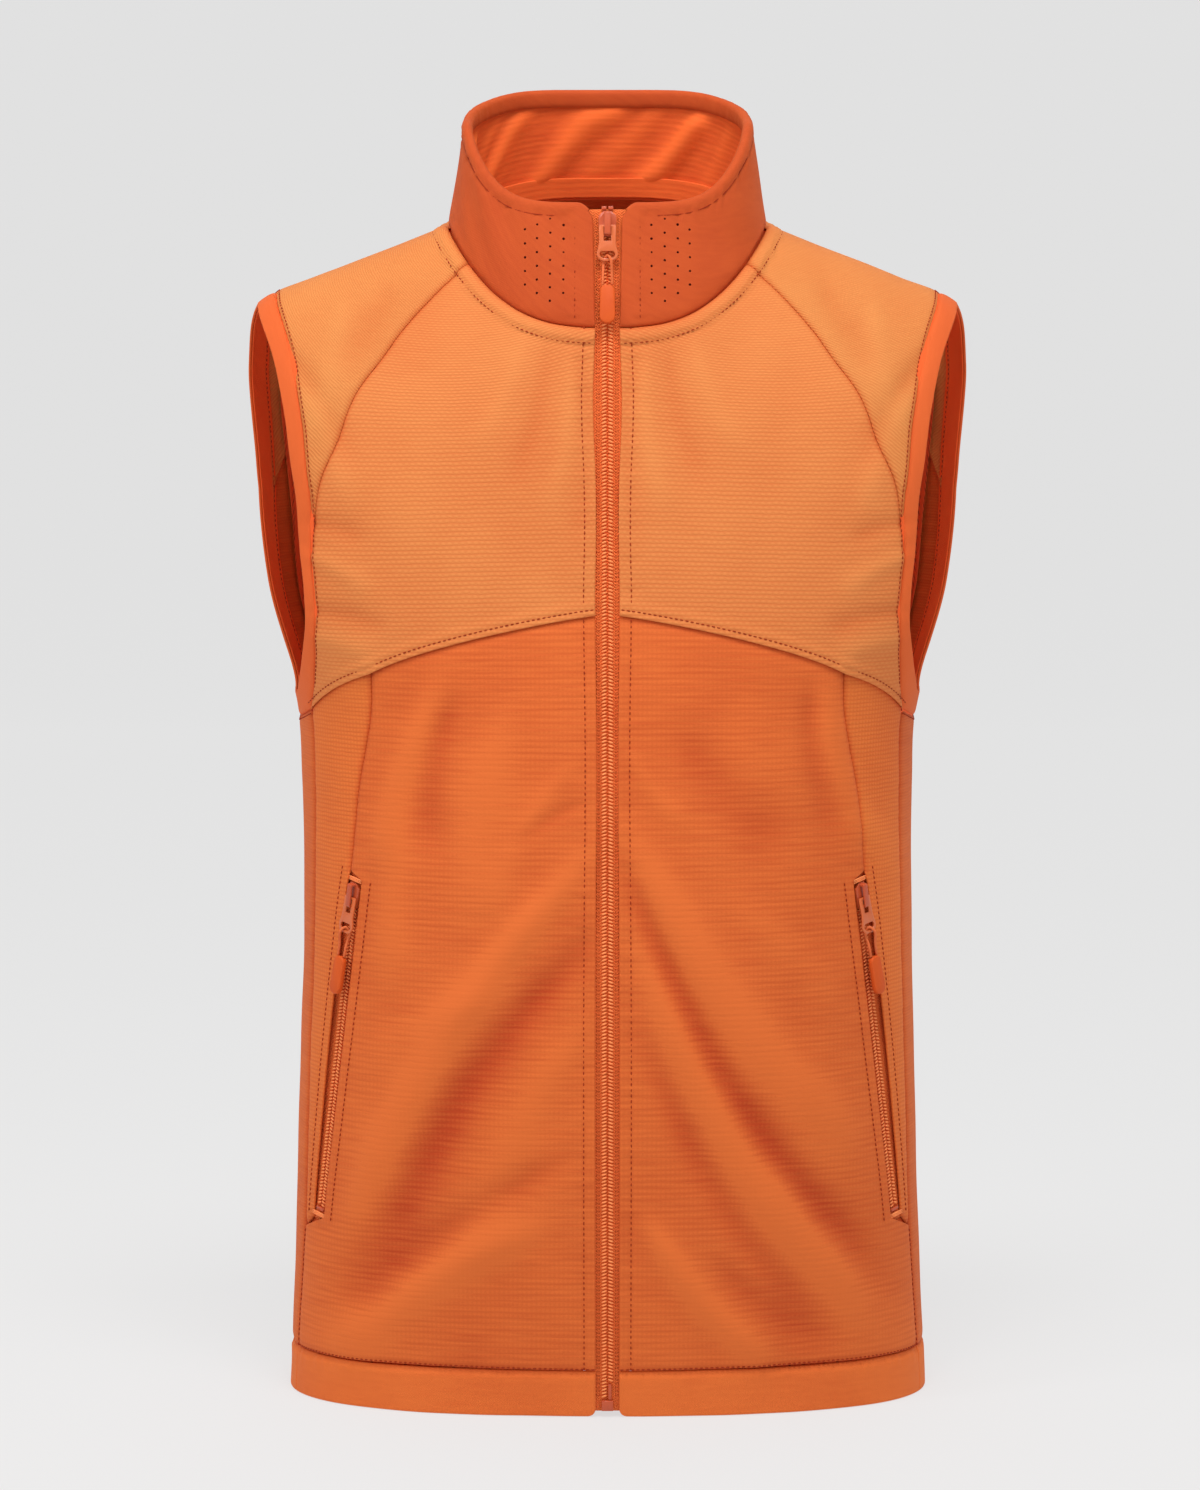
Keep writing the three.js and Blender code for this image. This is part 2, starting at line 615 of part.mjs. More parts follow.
function welded(geometry) {
  const p = geometry.getAttribute('position');
  const source = geometry.getIndex();
  const count = source ? source.count : p.count;
  const seen = new Map();
  const positions = [];
  const index = [];
  for (let i = 0; i < count; i++) {
    const v = source ? source.getX(i) : i;
    const key = [p.getX(v), p.getY(v), p.getZ(v)].map((c) => Math.round(c * 1e4)).join(' ');
    if (!seen.has(key)) {
      seen.set(key, positions.length / 3);
      positions.push(p.getX(v), p.getY(v), p.getZ(v));
    }
    index.push(seen.get(key));
  }
  const kept = [];
  for (let f = 0; f < index.length; f += 3) {
    const [a, b, c] = index.slice(f, f + 3);
    if (a !== b && b !== c && a !== c) kept.push(a, b, c);
  }
  return closed(positions, kept);
}

function toSolid(geometry) {
  const positions = new Float32Array(geometry.getAttribute('position').array);
  return new Manifold(new SolidMesh({ numProp: 3, vertProperties: positions, triVerts: new Uint32Array(geometry.getIndex().array) }));
}
function fromSolid(solid) {
  const m = solid.getMesh();
  const positions = [];
  for (let i = 0; i < m.vertProperties.length; i += m.numProp) {
    positions.push(m.vertProperties[i], m.vertProperties[i + 1], m.vertProperties[i + 2]);
  }
  return closed(positions, [...m.triVerts]);
}

// Puts a solid drawn as x across, y out, z up into a frame.
function intoFrame(geometry, frame) {
  const g = geometry.clone();
  const p = g.getAttribute('position');
  for (let i = 0; i < p.count; i++) {
    const v = place(frame, p.getX(i), p.getY(i), p.getZ(i));
    p.setXYZ(i, v.x, v.y, v.z);
  }
  return closed([...p.array], [...g.getIndex().array]);
}

const plateFoot = chainTop + sliderClearance;
const plateTop = plateFoot + 1.2;
const backPlateTop = tapeTop - tapeThickness - sliderClearance;
const bridgeClear = 1.9;
const bridgeWidth = 3.5;

function sliderSolid() {
  const w = sliderWidth / 2;
  const inner = chainWidth / 2 + 0.4;
  const lip = tapeTop + 0.4;
  const half = sliderLength / 2;
  const section = [[-w, plateTop], [-w, lip], [-inner, lip], [-inner, plateFoot], [-0.2, plateFoot],
    [-0.2, backPlateTop], [-w + 0.4, backPlateTop], [-w + 0.4, backPlateTop - 1], [w - 0.4, backPlateTop - 1],
    [w - 0.4, backPlateTop], [0.2, backPlateTop], [0.2, plateFoot], [inner, plateFoot], [inner, lip], [w, lip], [w, plateTop]];
  const bar = toSolid(prism(section, -half, half, alongUp));
  const plan = [[-2.2, half], [-w, half - 2.6], [-w, 1.5], [-w + 0.7, -half + 1], [-w + 1.6, -half],
    [w - 1.6, -half], [w - 0.7, -half + 1], [w, 1.5], [w, half - 2.6], [2.2, half]];
  const cut = toSolid(prism(plan, -8, 8, alongOut));
  const n0 = plateTop;
  const arch = [[n0 - 0.3, -6.7], [n0 + 2.3, -6.7], [n0 + 2.9, -5.9], [n0 + 2.9, 5.9], [n0 + 2.3, 6.7], [n0 - 0.3, 6.7],
    [n0 - 0.3, 5.5], [n0 + bridgeClear, 5.5], [n0 + bridgeClear, -5.5], [n0 - 0.3, -5.5]];
  const bridge = toSolid(prism(arch, -bridgeWidth / 2, bridgeWidth / 2, alongAcross));
  return fromSolid(bar.intersect(cut).add(bridge));
}

// The pull hangs from a pin under the bridge: tab, cord loop and soft grip, drawn from the pin down.
const pinUp = -1.6;
const pinOut = plateTop + bridgeClear / 2;
const ringBarUp = -tabLength + 1.55;

function tabSolid() {
  const t = tabThickness / 2;
  const outline = [[-4.85, 0.65], [4.85, 0.65], [4.7, -9.5], [5.3, -13], [6, -15.6], [5.7, -17.7], [4.4, -19.4], [2.2, -20.3],
    [-2.2, -20.3], [-4.4, -19.4], [-5.7, -17.7], [-6, -15.6], [-5.3, -13], [-4.7, -9.5]];
  const slot = [[-2.05, -0.65], [-2.05, -8.6], [2.05, -8.6], [2.05, -0.65]];
  const eye = [[-3.4, -14.6], [-4.4, -15.9], [-4.2, -17.3], [-3, -18.3], [-1.4, -18.8], [1.4, -18.8], [3, -18.3],
    [4.2, -17.3], [4.4, -15.9], [3.4, -14.6]];
  const shape = new THREE.Shape(outline.map(([x, u]) => new THREE.Vector2(x, u)));
  shape.holes.push(new THREE.Path(slot.map(([x, u]) => new THREE.Vector2(x, u))));
  shape.holes.push(new THREE.Path(eye.map(([x, u]) => new THREE.Vector2(x, u))));
  const g = new THREE.ExtrudeGeometry(shape, { depth: tabThickness, bevelEnabled: false, steps: 1 });
  const p = g.getAttribute('position');
  for (let i = 0; i < p.count; i++) p.setXYZ(i, p.getX(i), p.getZ(i) - t, p.getY(i));
  return welded(g);
}

const gripTopUp = ringBarUp - 14.7;
function cordSolid() {
  const lift = tabThickness / 2 + cordDiameter / 2 + 0.75;
  const end = gripTopUp + 0.35;
  const points = [[-2.6, 0, end], [-2.5, -0.3, -27], [-2.1, -lift, -21], [-1.7, -lift, -19.5], [-1, -0.95, -17.8], [0, 0, -17],
    [1, 0.95, -17.8], [1.7, lift, -19.5], [2.1, lift, -21], [2.5, 0.5, -27], [2.6, 0, end]];
  const path = new THREE.CatmullRomCurve3(points.map((p) => new THREE.Vector3(...p)), false, 'centripetal');
  const ring = Array.from({ length: 8 }, (_, i) => new THREE.Vector2(
    (Math.cos(i * Math.PI / 4) * cordDiameter) / 2, (Math.sin(i * Math.PI / 4) * cordDiameter) / 2));
  return welded(new THREE.ExtrudeGeometry(new THREE.Shape(ring), { steps: 34, bevelEnabled: false, extrudePath: path }));
}

function gripSolid() {
  const w = gripWidth / 2;
  const low = gripTopUp - gripLength;
  const bevel = 0.8;
  const outline = [];
  for (let i = 0; i <= 4; i++) {
    const a = (i / 4) * Math.PI / 2;
    outline.push([w - bevel - 2.2 + 2.2 * Math.sin(a), gripTopUp - bevel - 2.2 + 2.2 * Math.cos(a)]);
  }
  for (let i = 0; i <= 5; i++) {
    const a = (i / 5) * Math.PI / 2;
    outline.push([(w + 0.35 - bevel) * Math.cos(a), low + bevel + 3.6 - 3.6 * Math.sin(a)]);
  }
  const left = outline.slice(0, -1).reverse().map(([x, u]) => [-x, u]);
  const all = [...outline, ...left];
  const shape = new THREE.Shape(all.map(([x, u]) => new THREE.Vector2(x, u)));
  const g = new THREE.ExtrudeGeometry(shape, {
    depth: gripThickness - 2 * bevel, bevelEnabled: true, bevelThickness: bevel, bevelSize: bevel, bevelSegments: 2, steps: 1,
  });
  const p = g.getAttribute('position');
  for (let i = 0; i < p.count; i++) p.setXYZ(i, p.getX(i), p.getZ(i) - gripThickness / 2 + bevel, p.getY(i));
  return welded(g);
}

// The pin's own frame: leaning out from the slider's frame by a few degrees.
function pullFrame(frame, lean) {
  const s = Math.sin(lean * rad);
  const c = Math.cos(lean * rad);
  return {
    origin: place(frame, 0, pinOut, pinUp),
    across: frame.across,
    out: frame.out.clone().multiplyScalar(c).addScaledVector(frame.up, s),
    up: frame.up.clone().multiplyScalar(c).addScaledVector(frame.out, -s),
  };
}

const blockSolid = (x0, x1, n0, n1, low, high) => prism(box2d(x0, x1, n0, n1), low, high, alongUp);

const finishes = {
  shellFabric: { color: 0xe77b43, roughness: 0.85 },
  lowerFabric: { color: 0xd96a36, roughness: 0.85 },
  bandFabric: { color: 0xd5602f, roughness: 0.8 },
  liningFabric: { color: 0xc54f24, roughness: 0.9 },
  zipTape: { color: 0xc9502a, roughness: 0.9 },
  chainNylon: { color: 0xdd6a3e, roughness: 0.5 },
  paintedMetal: { color: 0xe0784a, roughness: 0.4, metalness: 0.2 },
  pullCord: { color: 0xe0704a, roughness: 0.8 },
  softGrip: { color: 0xe36d41, roughness: 0.6 },
};
const root = new THREE.Group();
root.name = 'zip_vest';
const shiftY = -(frontY(frontArcHeight) + 115.6) / 2;

function add(name, geometry, finish) {
  const g = geometry.clone();
  g.translate(0, shiftY, 0);
  const mesh = new THREE.Mesh(g, new THREE.MeshStandardMaterial(finishes[finish]));
  mesh.name = name;
  root.add(mesh);
}
function addPair(name, geometry, finish) {
  add('left_' + name, geometry, finish);
  add('right_' + name, mirrored(geometry), finish);
}

addPair('chest_panel', chestPanel(), 'shellFabric');
addPair('front_panel', frontPanel(), 'lowerFabric');
addPair('side_front_panel', sideFrontPanel(), 'lowerFabric');
addPair('shoulder_panel', shoulderPanel(), 'shellFabric');
add('back_panel', backPanel(), 'lowerFabric');
addPair('hem_band_front', hemBand(onEdge(10)[0], 76, 9), 'lowerFabric');
add('hem_band_back', hemBand(76, 284, 18), 'lowerFabric');
addPair('armhole_band', armholeBand(), 'bandFabric');
add('collar_shell', collarSheet(edgeX, collarThickness, 0, 0.005, 1, 30), 'bandFabric');
add('collar_lining', collarSheet(tapeHalfWidth + 1.2, liningThickness, collarThickness + 0.75, 0.02, 0.985, 30), 'liningFabric');
add('back_neck_tape', neckTape(), 'liningFabric');
addPair('front_lining', frontLining(), 'liningFabric');
add('back_lining', backLining(), 'liningFabric');
addPair('pocket_bag', pocketBag(), 'liningFabric');

addPair('main_zip_tape', mainTape(), 'zipTape');
add('left_main_zip_chain', mainChain(19.5), 'chainNylon');
add('right_main_zip_chain', mirrored(mainChain(boxTop + 1.5)), 'chainNylon');
const boxFrame = mainFrame(arcAngle(6));
add('main_zip_retainer_box', intoFrame(blockSolid(-3.3, 3.3, chainFoot, 0.1, -3, 3.2), boxFrame), 'paintedMetal');
const pinFrame = mainFrame(arcAngle(14.2));
add('main_zip_insertion_pin', intoFrame(blockSolid(0.5, 2.3, chainFoot, chainTop - 0.2, -4.6, 4.6), pinFrame), 'paintedMetal');
const stopFrame = mainFrame(arcAngle(collarTopZ - 0.8));
addPair('main_zip_top_stop', intoFrame(blockSolid(0.5, 3.3, chainFoot, chainTop + 0.2, -0.9, 1.1), stopFrame), 'paintedMetal');

const sliderBody = sliderSolid();
const tab = tabSolid();
const cord = cordSolid();
const grip = gripSolid();
const sliderRest = 671.2;
const mainSliderFrame = mainFrame(arcAngle(sliderRest));
const mainPull = pullFrame(mainSliderFrame, 0.6);
add('main_slider_body', intoFrame(sliderBody, mainSliderFrame), 'paintedMetal');
add('main_pull_tab', intoFrame(tab, mainPull), 'paintedMetal');
add('main_pull_cord', intoFrame(cord, mainPull), 'pullCord');
add('main_pull_grip', intoFrame(grip, mainPull), 'softGrip');

addPair('pocket_zip_tape_inner', pocketTape(-1), 'zipTape');
addPair('pocket_zip_tape_outer', pocketTape(1), 'zipTape');
addPair('pocket_zip_chain_inner', pocketChain(-1), 'chainNylon');
addPair('pocket_zip_chain_outer', pocketChain(1), 'chainNylon');
const pocketSliderFrame = pocketFrame(pocketLength - 8);
const pocketPull = pullFrame(pocketSliderFrame, 4);
addPair('pocket_slider_body', intoFrame(sliderBody, pocketSliderFrame), 'paintedMetal');
addPair('pocket_pull_tab', intoFrame(tab, pocketPull), 'paintedMetal');
addPair('pocket_pull_cord', intoFrame(cord, pocketPull), 'pullCord');
addPair('pocket_pull_grip', intoFrame(grip, pocketPull), 'softGrip');
addPair('pocket_zip_bottom_stop', intoFrame(blockSolid(-3.3, 3.3, chainFoot, 0, -1, 1), pocketFrame(1.4)), 'paintedMetal');

export default root;
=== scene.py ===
# A zip-front vest, filled out as if worn, dressed over its CAD frame.
import math

import bmesh
import bpy
import numpy as np
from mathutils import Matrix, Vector
from mathutils.kdtree import KDTree


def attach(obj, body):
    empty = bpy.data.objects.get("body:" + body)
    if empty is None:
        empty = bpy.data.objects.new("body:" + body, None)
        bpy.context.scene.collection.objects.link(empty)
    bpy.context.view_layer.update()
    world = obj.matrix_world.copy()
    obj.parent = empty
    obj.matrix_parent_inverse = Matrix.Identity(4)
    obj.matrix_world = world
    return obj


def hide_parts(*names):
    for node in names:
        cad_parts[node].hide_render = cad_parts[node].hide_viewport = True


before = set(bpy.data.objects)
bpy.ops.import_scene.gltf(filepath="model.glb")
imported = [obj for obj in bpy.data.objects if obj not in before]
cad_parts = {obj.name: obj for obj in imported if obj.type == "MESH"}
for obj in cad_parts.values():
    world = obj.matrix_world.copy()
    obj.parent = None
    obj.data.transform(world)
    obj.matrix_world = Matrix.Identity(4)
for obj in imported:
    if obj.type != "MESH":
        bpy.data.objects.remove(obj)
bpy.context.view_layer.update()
scene = bpy.context.scene

# camera
cameraSettings = {"place": (0, -3.1958, 0.70), "target": (0, 0.0042, 0.3715), "lens": 134.8, "shift": -0.005}


def makeCamera(s):
    data = bpy.data.cameras.new("studioCamera")
    data.lens = s["lens"]
    data.sensor_width = 36
    data.shift_x = s["shift"]
    data.clip_end = 30
    camera = bpy.data.objects.new("studioCamera", data)
    scene.collection.objects.link(camera)
    camera.location = s["place"]
    look = Vector(s["target"]) - Vector(s["place"])
    camera.rotation_euler = look.to_track_quat("-Z", "Y").to_euler()
    scene.camera = camera


makeCamera(cameraSettings)
print("camera set")

# the worn shape, in millimetres
# Loops from hem to neck: height at front, side and back, half width, back depth,
# squareness, and how far back the widest point lies.
zipArc = {"radius": 1500.0, "height": 270.0, "belly": 124.0, "gap": 13.4, "backShift": 4.2}
wornLoops = np.array([
    (0, 0, 0, 184.5, 104, 2.45, 0),
    (95, 95, 95, 180.5, 104, 2.45, 0),
    (190, 190, 190, 177.5, 102, 2.45, 0),
    (295, 295, 295, 175, 103, 2.45, 0),
    (352, 355, 355, 175.5, 108, 2.45, 0),
    (397, 402, 402, 179, 112, 2.5, 0),
    (440, 465, 465, 203, 115, 2.55, 0),
    (482, 533, 530, 214, 114, 2.6, 0),
    (520, 590, 586, 216, 108, 2.6, -2),
    (551, 626, 630, 199.5, 99, 2.5, -4),
    (575, 641, 655, 166, 89, 2.4, -5),
    (595, 655.5, 674, 128, 79, 2.3, -6),
    (614, 669, 688, 91, 70, 2.3, -7)], float)
collarRimLoop = np.array((681, 727, 745, 82, 60, 2.6, -6), float)
crowns = {"body": 2.6, "collarRim": 4.2}  # how flat a loop runs before it turns to its sides
collarTurn = 17.0  # how much the rim goes on climbing past its sides


def frontY(z):
    return zipArc["radius"] - zipArc["belly"] - np.sqrt(zipArc["radius"] ** 2 - (z - zipArc["height"]) ** 2)


def loopPlaces():
    steps = 0.5 * np.hypot(np.diff(wornLoops[:, 1]),
                           np.diff(wornLoops[:, 3])) + 0.5 * np.abs(np.diff(wornLoops[:, 0]))
    places = np.concatenate([[0], np.cumsum(steps)])
    return places / places[-1]


places = loopPlaces()
rises = np.diff(wornLoops, axis=0) / np.diff(places)[:, None]
before, after = np.diff(places)[:-1, None], np.diff(places)[1:, None]
slopes = np.vstack([rises[:1], (rises[:-1] * after + rises[1:] * before) / (before + after), rises[-1:]])


def loopAt(t):
    t = np.asarray(t, float)
    i = np.clip(np.searchsorted(places, t, side="right") - 1, 0, len(places) - 2)
    h = (places[i + 1] - places[i])[..., None]
    u = (t - places[i])[..., None] / h
    return ((2 * u**3 - 3 * u * u + 1) * wornLoops[i] + (u**3 - 2 * u * u + u) * h * slopes[i]
            + (3 * u * u - 2 * u**3) * wornLoops[i + 1] + (u**3 - u * u) * h * slopes[i + 1])


def onLoop(k, angle, crown=crowns["body"]):
    # 0 degrees is the zip, 90 the wearer's left, 180 the centre back
    s, c = np.sin(np.radians(angle)), np.cos(np.radians(angle))
    front, side, back, half, depth, square, shift = np.moveaxis(k, -1, 0)
    reach = np.abs(c) ** (2 / square)
    rise = 1 - np.abs(s) ** crown
    ahead = c >= 0
    far = np.where(ahead, frontY(front), depth)
    height = np.where(ahead, front, back)
    return np.stack([half * np.sign(s) * np.abs(s) ** (2 / square), shift + (far - shift) * reach,
                     side + (height - side) * rise], -1)


def body(angle, t):
    return onLoop(loopAt(t), angle)


def collar(angle, u):
    u = np.asarray(u, float)[..., None]
    k = wornLoops[-1] + (collarRimLoop - wornLoops[-1]) * u
    crown = crowns["body"] + (crowns["collarRim"] - crowns["body"]) * u[..., 0]
    points = onLoop(np.broadcast_to(k, np.broadcast_shapes(np.shape(angle) + (1,), k.shape)), angle, crown)
    s, c = np.sin(np.radians(angle)), np.cos(np.radians(angle))
    points[..., 2] -= collarTurn * u[..., 0] ** 2 * c * np.abs(s) ** 10
    return points


def outward(surface, angle, t):
    across = surface(angle + 0.5, t) - surface(angle - 0.5, t)
    along = surface(angle, t + 0.003) - surface(angle, t - 0.003)
    n = np.cross(across, along)
    return n / np.linalg.norm(n, axis=-1, keepdims=True)


def atFront(x, z):
    low, high, angle = 0.0, 1.0, 0.0
    for _ in range(34):
        t = (low + high) / 2
        k = loopAt(t)
        angle = math.degrees(math.asin(min(1, (x / k[3]) ** (k[5] / 2))))
        if onLoop(k, angle)[2] < z:
            low = t
        else:
            high = t
    return (angle, (low + high) / 2)


def atAngle(angle, z):
    low, high = 0.0, 1.0
    for _ in range(34):
        t = (low + high) / 2
        if body(angle, t)[2] < z:
            low = t
        else:
            high = t
    return (angle, (low + high) / 2)


def throughKnots(knots, count=40):
    # a smooth line through knots, its spacing softened by a square root
    p = np.array(knots, float) * (1, 400)
    p = np.vstack([2 * p[0] - p[1], p, 2 * p[-1] - p[-2]])
    d = np.maximum(np.linalg.norm(np.diff(p, axis=0), axis=1), 1e-6) ** 0.5
    out = []
    for i in range(1, len(p) - 2):
        t0, t1 = 0, d[i - 1]
        t2, t3 = t1 + d[i], t1 + d[i] + d[i + 1]
        t = np.linspace(t1, t2, count, endpoint=False)[:, None]
        a1 = (t1 - t) / (t1 - t0) * p[i - 1] + (t - t0) / (t1 - t0) * p[i]
        a2 = (t2 - t) / (t2 - t1) * p[i] + (t - t1) / (t2 - t1) * p[i + 1]
        a3 = (t3 - t) / (t3 - t2) * p[i + 1] + (t - t2) / (t3 - t2) * p[i + 2]
        b1 = (t2 - t) / (t2 - t0) * a1 + (t - t0) / (t2 - t0) * a2
        b2 = (t3 - t) / (t3 - t1) * a2 + (t - t1) / (t3 - t1) * a3
        out.append((t2 - t) / (t2 - t1) * b1 + (t - t1) / (t2 - t1) * b2)
    return np.vstack(out + [p[-2:-1]]) / (1, 400)


def seamLine(knots):
    fine = throughKnots(knots)
    p = body(fine[:, 0], fine[:, 1])
    run = np.concatenate([[0], np.cumsum(np.linalg.norm(np.diff(p, axis=0), axis=1))])
    s = np.linspace(0, run[-1], 300)
    return np.stack([np.interp(s, run, fine[:, 0]), np.interp(s, run, fine[:, 1])], -1)


def along(line, s):
    # places at shares of a line, carried straight on past its ends
    x = np.asarray(s, float) * (len(line) - 1)
    i = np.clip(np.floor(x).astype(int), 0, len(line) - 2)
    f = (x - i)[..., None]
    return line[i] * (1 - f) + line[i + 1] * f


def chainOf(*parts):
    # several lines as one; each takes its number of steps out of the whole
    ends = np.cumsum([0] + [n for _, n in parts]) / sum(n for _, n in parts)

    def at(s):
        s = np.asarray(s, float)
        out = np.zeros(s.shape + (2,))
        for k, (line, _) in enumerate(parts):
            inside = (s >= ends[k]) if k == len(parts) - 1 else (s >= ends[k]) & (s < ends[k + 1])
            if k == 0:
                inside |= s < 0
            out[inside] = along(line, (s[inside] - ends[k]) / (ends[k + 1] - ends[k]))
        return out

    return at


def single(line):
    return chainOf((line, 1))


def turned(line):
    return line[::-1].copy()


def farSide(line):
    return line * (-1, 1) + (360, 0)


# seams, on the wearer's left half
edgeX = zipArc["gap"] / 2
hemHeight = 26.5
standHeight = 8.6  # the raised band at the collar's foot
seatOfArm = (68.5, 0.5795)
raglanFoot = (47, 0.726)
raglanBackFoot = (115, 0.729)
raglanBackTop = (122.6, 1)
neckEnd = atFront(83.5, 647)
chestSeamIn = seamLine([atFront(edgeX, 455), atFront(77, 441), atFront(133, 421)])
chestSeamOut = seamLine([atFront(133, 421), atFront(150, 413.5), seatOfArm])
pocketSeam = seamLine([atFront(145.5, 309), atFront(140, 360), atFront(133, 421)])
raglan = seamLine([raglanFoot, (43.5, 0.777), (39.9, 0.83), (42.5, 0.895), (49.7, 0.948), (neckEnd[0], 1)])
raglanBack = seamLine([raglanBackFoot, (121, 0.752), (130, 0.81), (133.5, 0.87), (129, 0.95), raglanBackTop])
sideLow = seamLine([atAngle(76, hemHeight), atAngle(75, 60), atAngle(73, 98.5)])
sideHigh = seamLine([atAngle(73, 98.5), atAngle(72.5, 200), atAngle(70.5, 330), seatOfArm])
bandFront = seamLine([seatOfArm, (62, 0.605), (53.8, 0.64), (49.5, 0.672), raglanFoot])
bandOver = seamLine([raglanFoot, (45.6, 0.78), (49, 0.83), (60, 0.866), (75, 0.88), (94, 0.882), (109, 0.852),
                     (116, 0.80), raglanBackFoot])
bandUnder = seamLine([seatOfArm, (78, 0.5725), (90, 0.569), (100, 0.588), (109, 0.65), raglanBackFoot])
rimFront = seamLine([(76, 0.5935), (65, 0.617), (55, 0.652), (51.5, 0.685), (50.2, 0.726)])
rimOver = seamLine([(50.2, 0.726), (49.8, 0.78), (53, 0.821), (62, 0.851), (76, 0.864), (92, 0.866),
                    (103, 0.84),
                    (109, 0.80), (108.8, 0.729)])
rimUnder = seamLine([(76, 0.5935), (84, 0.588), (93, 0.594), (98.5, 0.622), (104.5, 0.665), (108.8, 0.729)])

# Each pocket's zip runs on a straight line; its opening's edges follow the panels.
# "calm" is how far from the opening the folds have died away.
pocketZip = {"high": (51.2, 303), "low": (64.2, 110), "opening": 11.6, "slack": 2.0, "sink": 1.1,
             "calm": 34.0}
pocketHigh = body(*atAngle(*pocketZip["high"]))
pocketLow = body(*atAngle(*pocketZip["low"]))
pocketUp = (pocketHigh - pocketLow) / np.linalg.norm(pocketHigh - pocketLow)
pocketLength = float(np.linalg.norm(pocketHigh - pocketLow))
pocketMiddle = (pocketHigh + pocketLow) / 2
pocketOut = outward(body, *atFront(pocketMiddle[0], pocketMiddle[2]))
pocketOut = pocketOut - pocketUp * (pocketOut @ pocketUp)
pocketOut = pocketOut / np.linalg.norm(pocketOut)
pocketAcross = np.cross(pocketUp, pocketOut)


def pocketEdge(low, high, side):
    out = []
    for z in np.linspace(low, high, 9):
        x = np.interp(z, (pocketLow[2], pocketHigh[2]), (pocketLow[0], pocketHigh[0]))
        angle = atFront(x, z)[0]
        degree = np.linalg.norm(body(*atAngle(angle + 1, z)) - body(*atAngle(angle, z)))
        u = min(1, max(0, (z - pocketLow[2]) / (pocketHigh[2] - pocketLow[2])))
        slack = pocketZip["slack"] * math.sin(math.pi * u) if side > 0 else 0
        out.append(atAngle(angle + side * (pocketZip["opening"] / 2 + slack) / degree, z))
    if side > 0:
        out[-1] = tuple(pocketSeam[0])
    return seamLine(out)


pocketInner = pocketEdge(107, 304, -1)
pocketOuter = pocketEdge(107, 309, 1)
pocketFoot = seamLine([sideLow[-1], pocketInner[0]])
pocketHead = seamLine([pocketInner[-1], pocketSeam[0]])
print("seams drawn")

# cloth measure: how far along and up each place lies
measureAngles = np.linspace(-12, 372, 385)
measureHeights = np.linspace(-0.02, 1.02, 105)
gridA, gridT = np.meshgrid(measureAngles, measureHeights, indexing="ij")
gridP = body(gridA, gridT)
stepsAcross = np.linalg.norm(np.diff(gridP, axis=0), axis=-1)
stepsUp = np.linalg.norm(np.diff(gridP, axis=1), axis=-1)
runAcross = np.concatenate([np.zeros((1, 105)), np.cumsum(stepsAcross, axis=0)])
runAcross -= runAcross[12]
runUp = np.concatenate([np.zeros((385, 1)), np.cumsum(stepsUp, axis=1)], axis=1)


def clothPlace(angle, t):
    # millimetres along the cloth from the zip, and up it from the hem
    fa = np.clip((angle + 12) / 384 * 384, 0, 383.999)
    ft = np.clip((t + 0.02) / 1.04 * 104, 0, 103.999)
    i, j = fa.astype(int), ft.astype(int)
    a, b = fa - i, ft - j
    out = []
    for run in (runAcross, runUp):
        out.append(run[i, j] * (1 - a) * (1 - b) + run[i + 1, j] * a * (1 - b)
                   + run[i, j + 1] * (1 - a) * b + run[i + 1, j + 1] * a * b)
    return out


# soft folds: ridges between two places (x, z), with a width and a height
frontFolds = {
    "right": [  # the wearer's right: x is negative
        ((-14, 318), (-140, 118), 11, 2.2), ((-12, 272), (-128, 92), 12, -2.2),
        ((-40, 112), (-150, 34), 12, 2.0),
        ((-24, 150), (-140, 60), 10, -1.4), ((-95, 415), (-128, 262), 11, 1.6),
        ((-86, 408), (-101, 330), 8, -1.4),
        ((-60, 400), (-70, 290), 14, 0.9), ((-20, 372), (-62, 300), 7, 0.7),
        ((-12, 352), (-48, 330), 4, -0.6),
        ((-60, 245), (-150, 190), 11, 0.8), ((-10, 232), (-70, 110), 12, 1.0)],
    "left": [
        ((14, 306), (140, 96), 8, -2.6), ((16, 330), (125, 168), 12, 2.0), ((20, 268), (132, 70), 11, 2.3),
        ((24, 210), (118, 56), 9, -1.5), ((24, 112), (84, 36), 8, 2.2), ((60, 92), (120, 42), 8, -1.2),
        ((122, 410), (150, 318), 8, 1.3), ((112, 415), (126, 340), 7, -1.1), ((40, 395), (92, 330), 13, -0.9),
        ((70, 300), (150, 232), 12, 0.9), ((12, 380), (40, 342), 5, 0.6)]}
chestFolds = [
    ((22, 600), (30, 520), 5, 0.8), ((34, 604), (50, 535), 5, -0.7), ((48, 606), (70, 552), 6, 0.7),
    ((14, 596), (17, 500), 4, -0.5), ((176, 505), (140, 498), 4.5, -0.9), ((174, 488), (135, 470), 5, 0.9),
    ((172, 455), (128, 448), 5, -0.9), ((172, 440), (132, 432), 5, 0.8), ((186, 606), (150, 545), 7, -1.2),
    ((176, 585), (146, 520), 6, 0.9), ((150, 628), (165, 560), 8, 0.9), ((120, 640), (150, 596), 8, -0.8)]
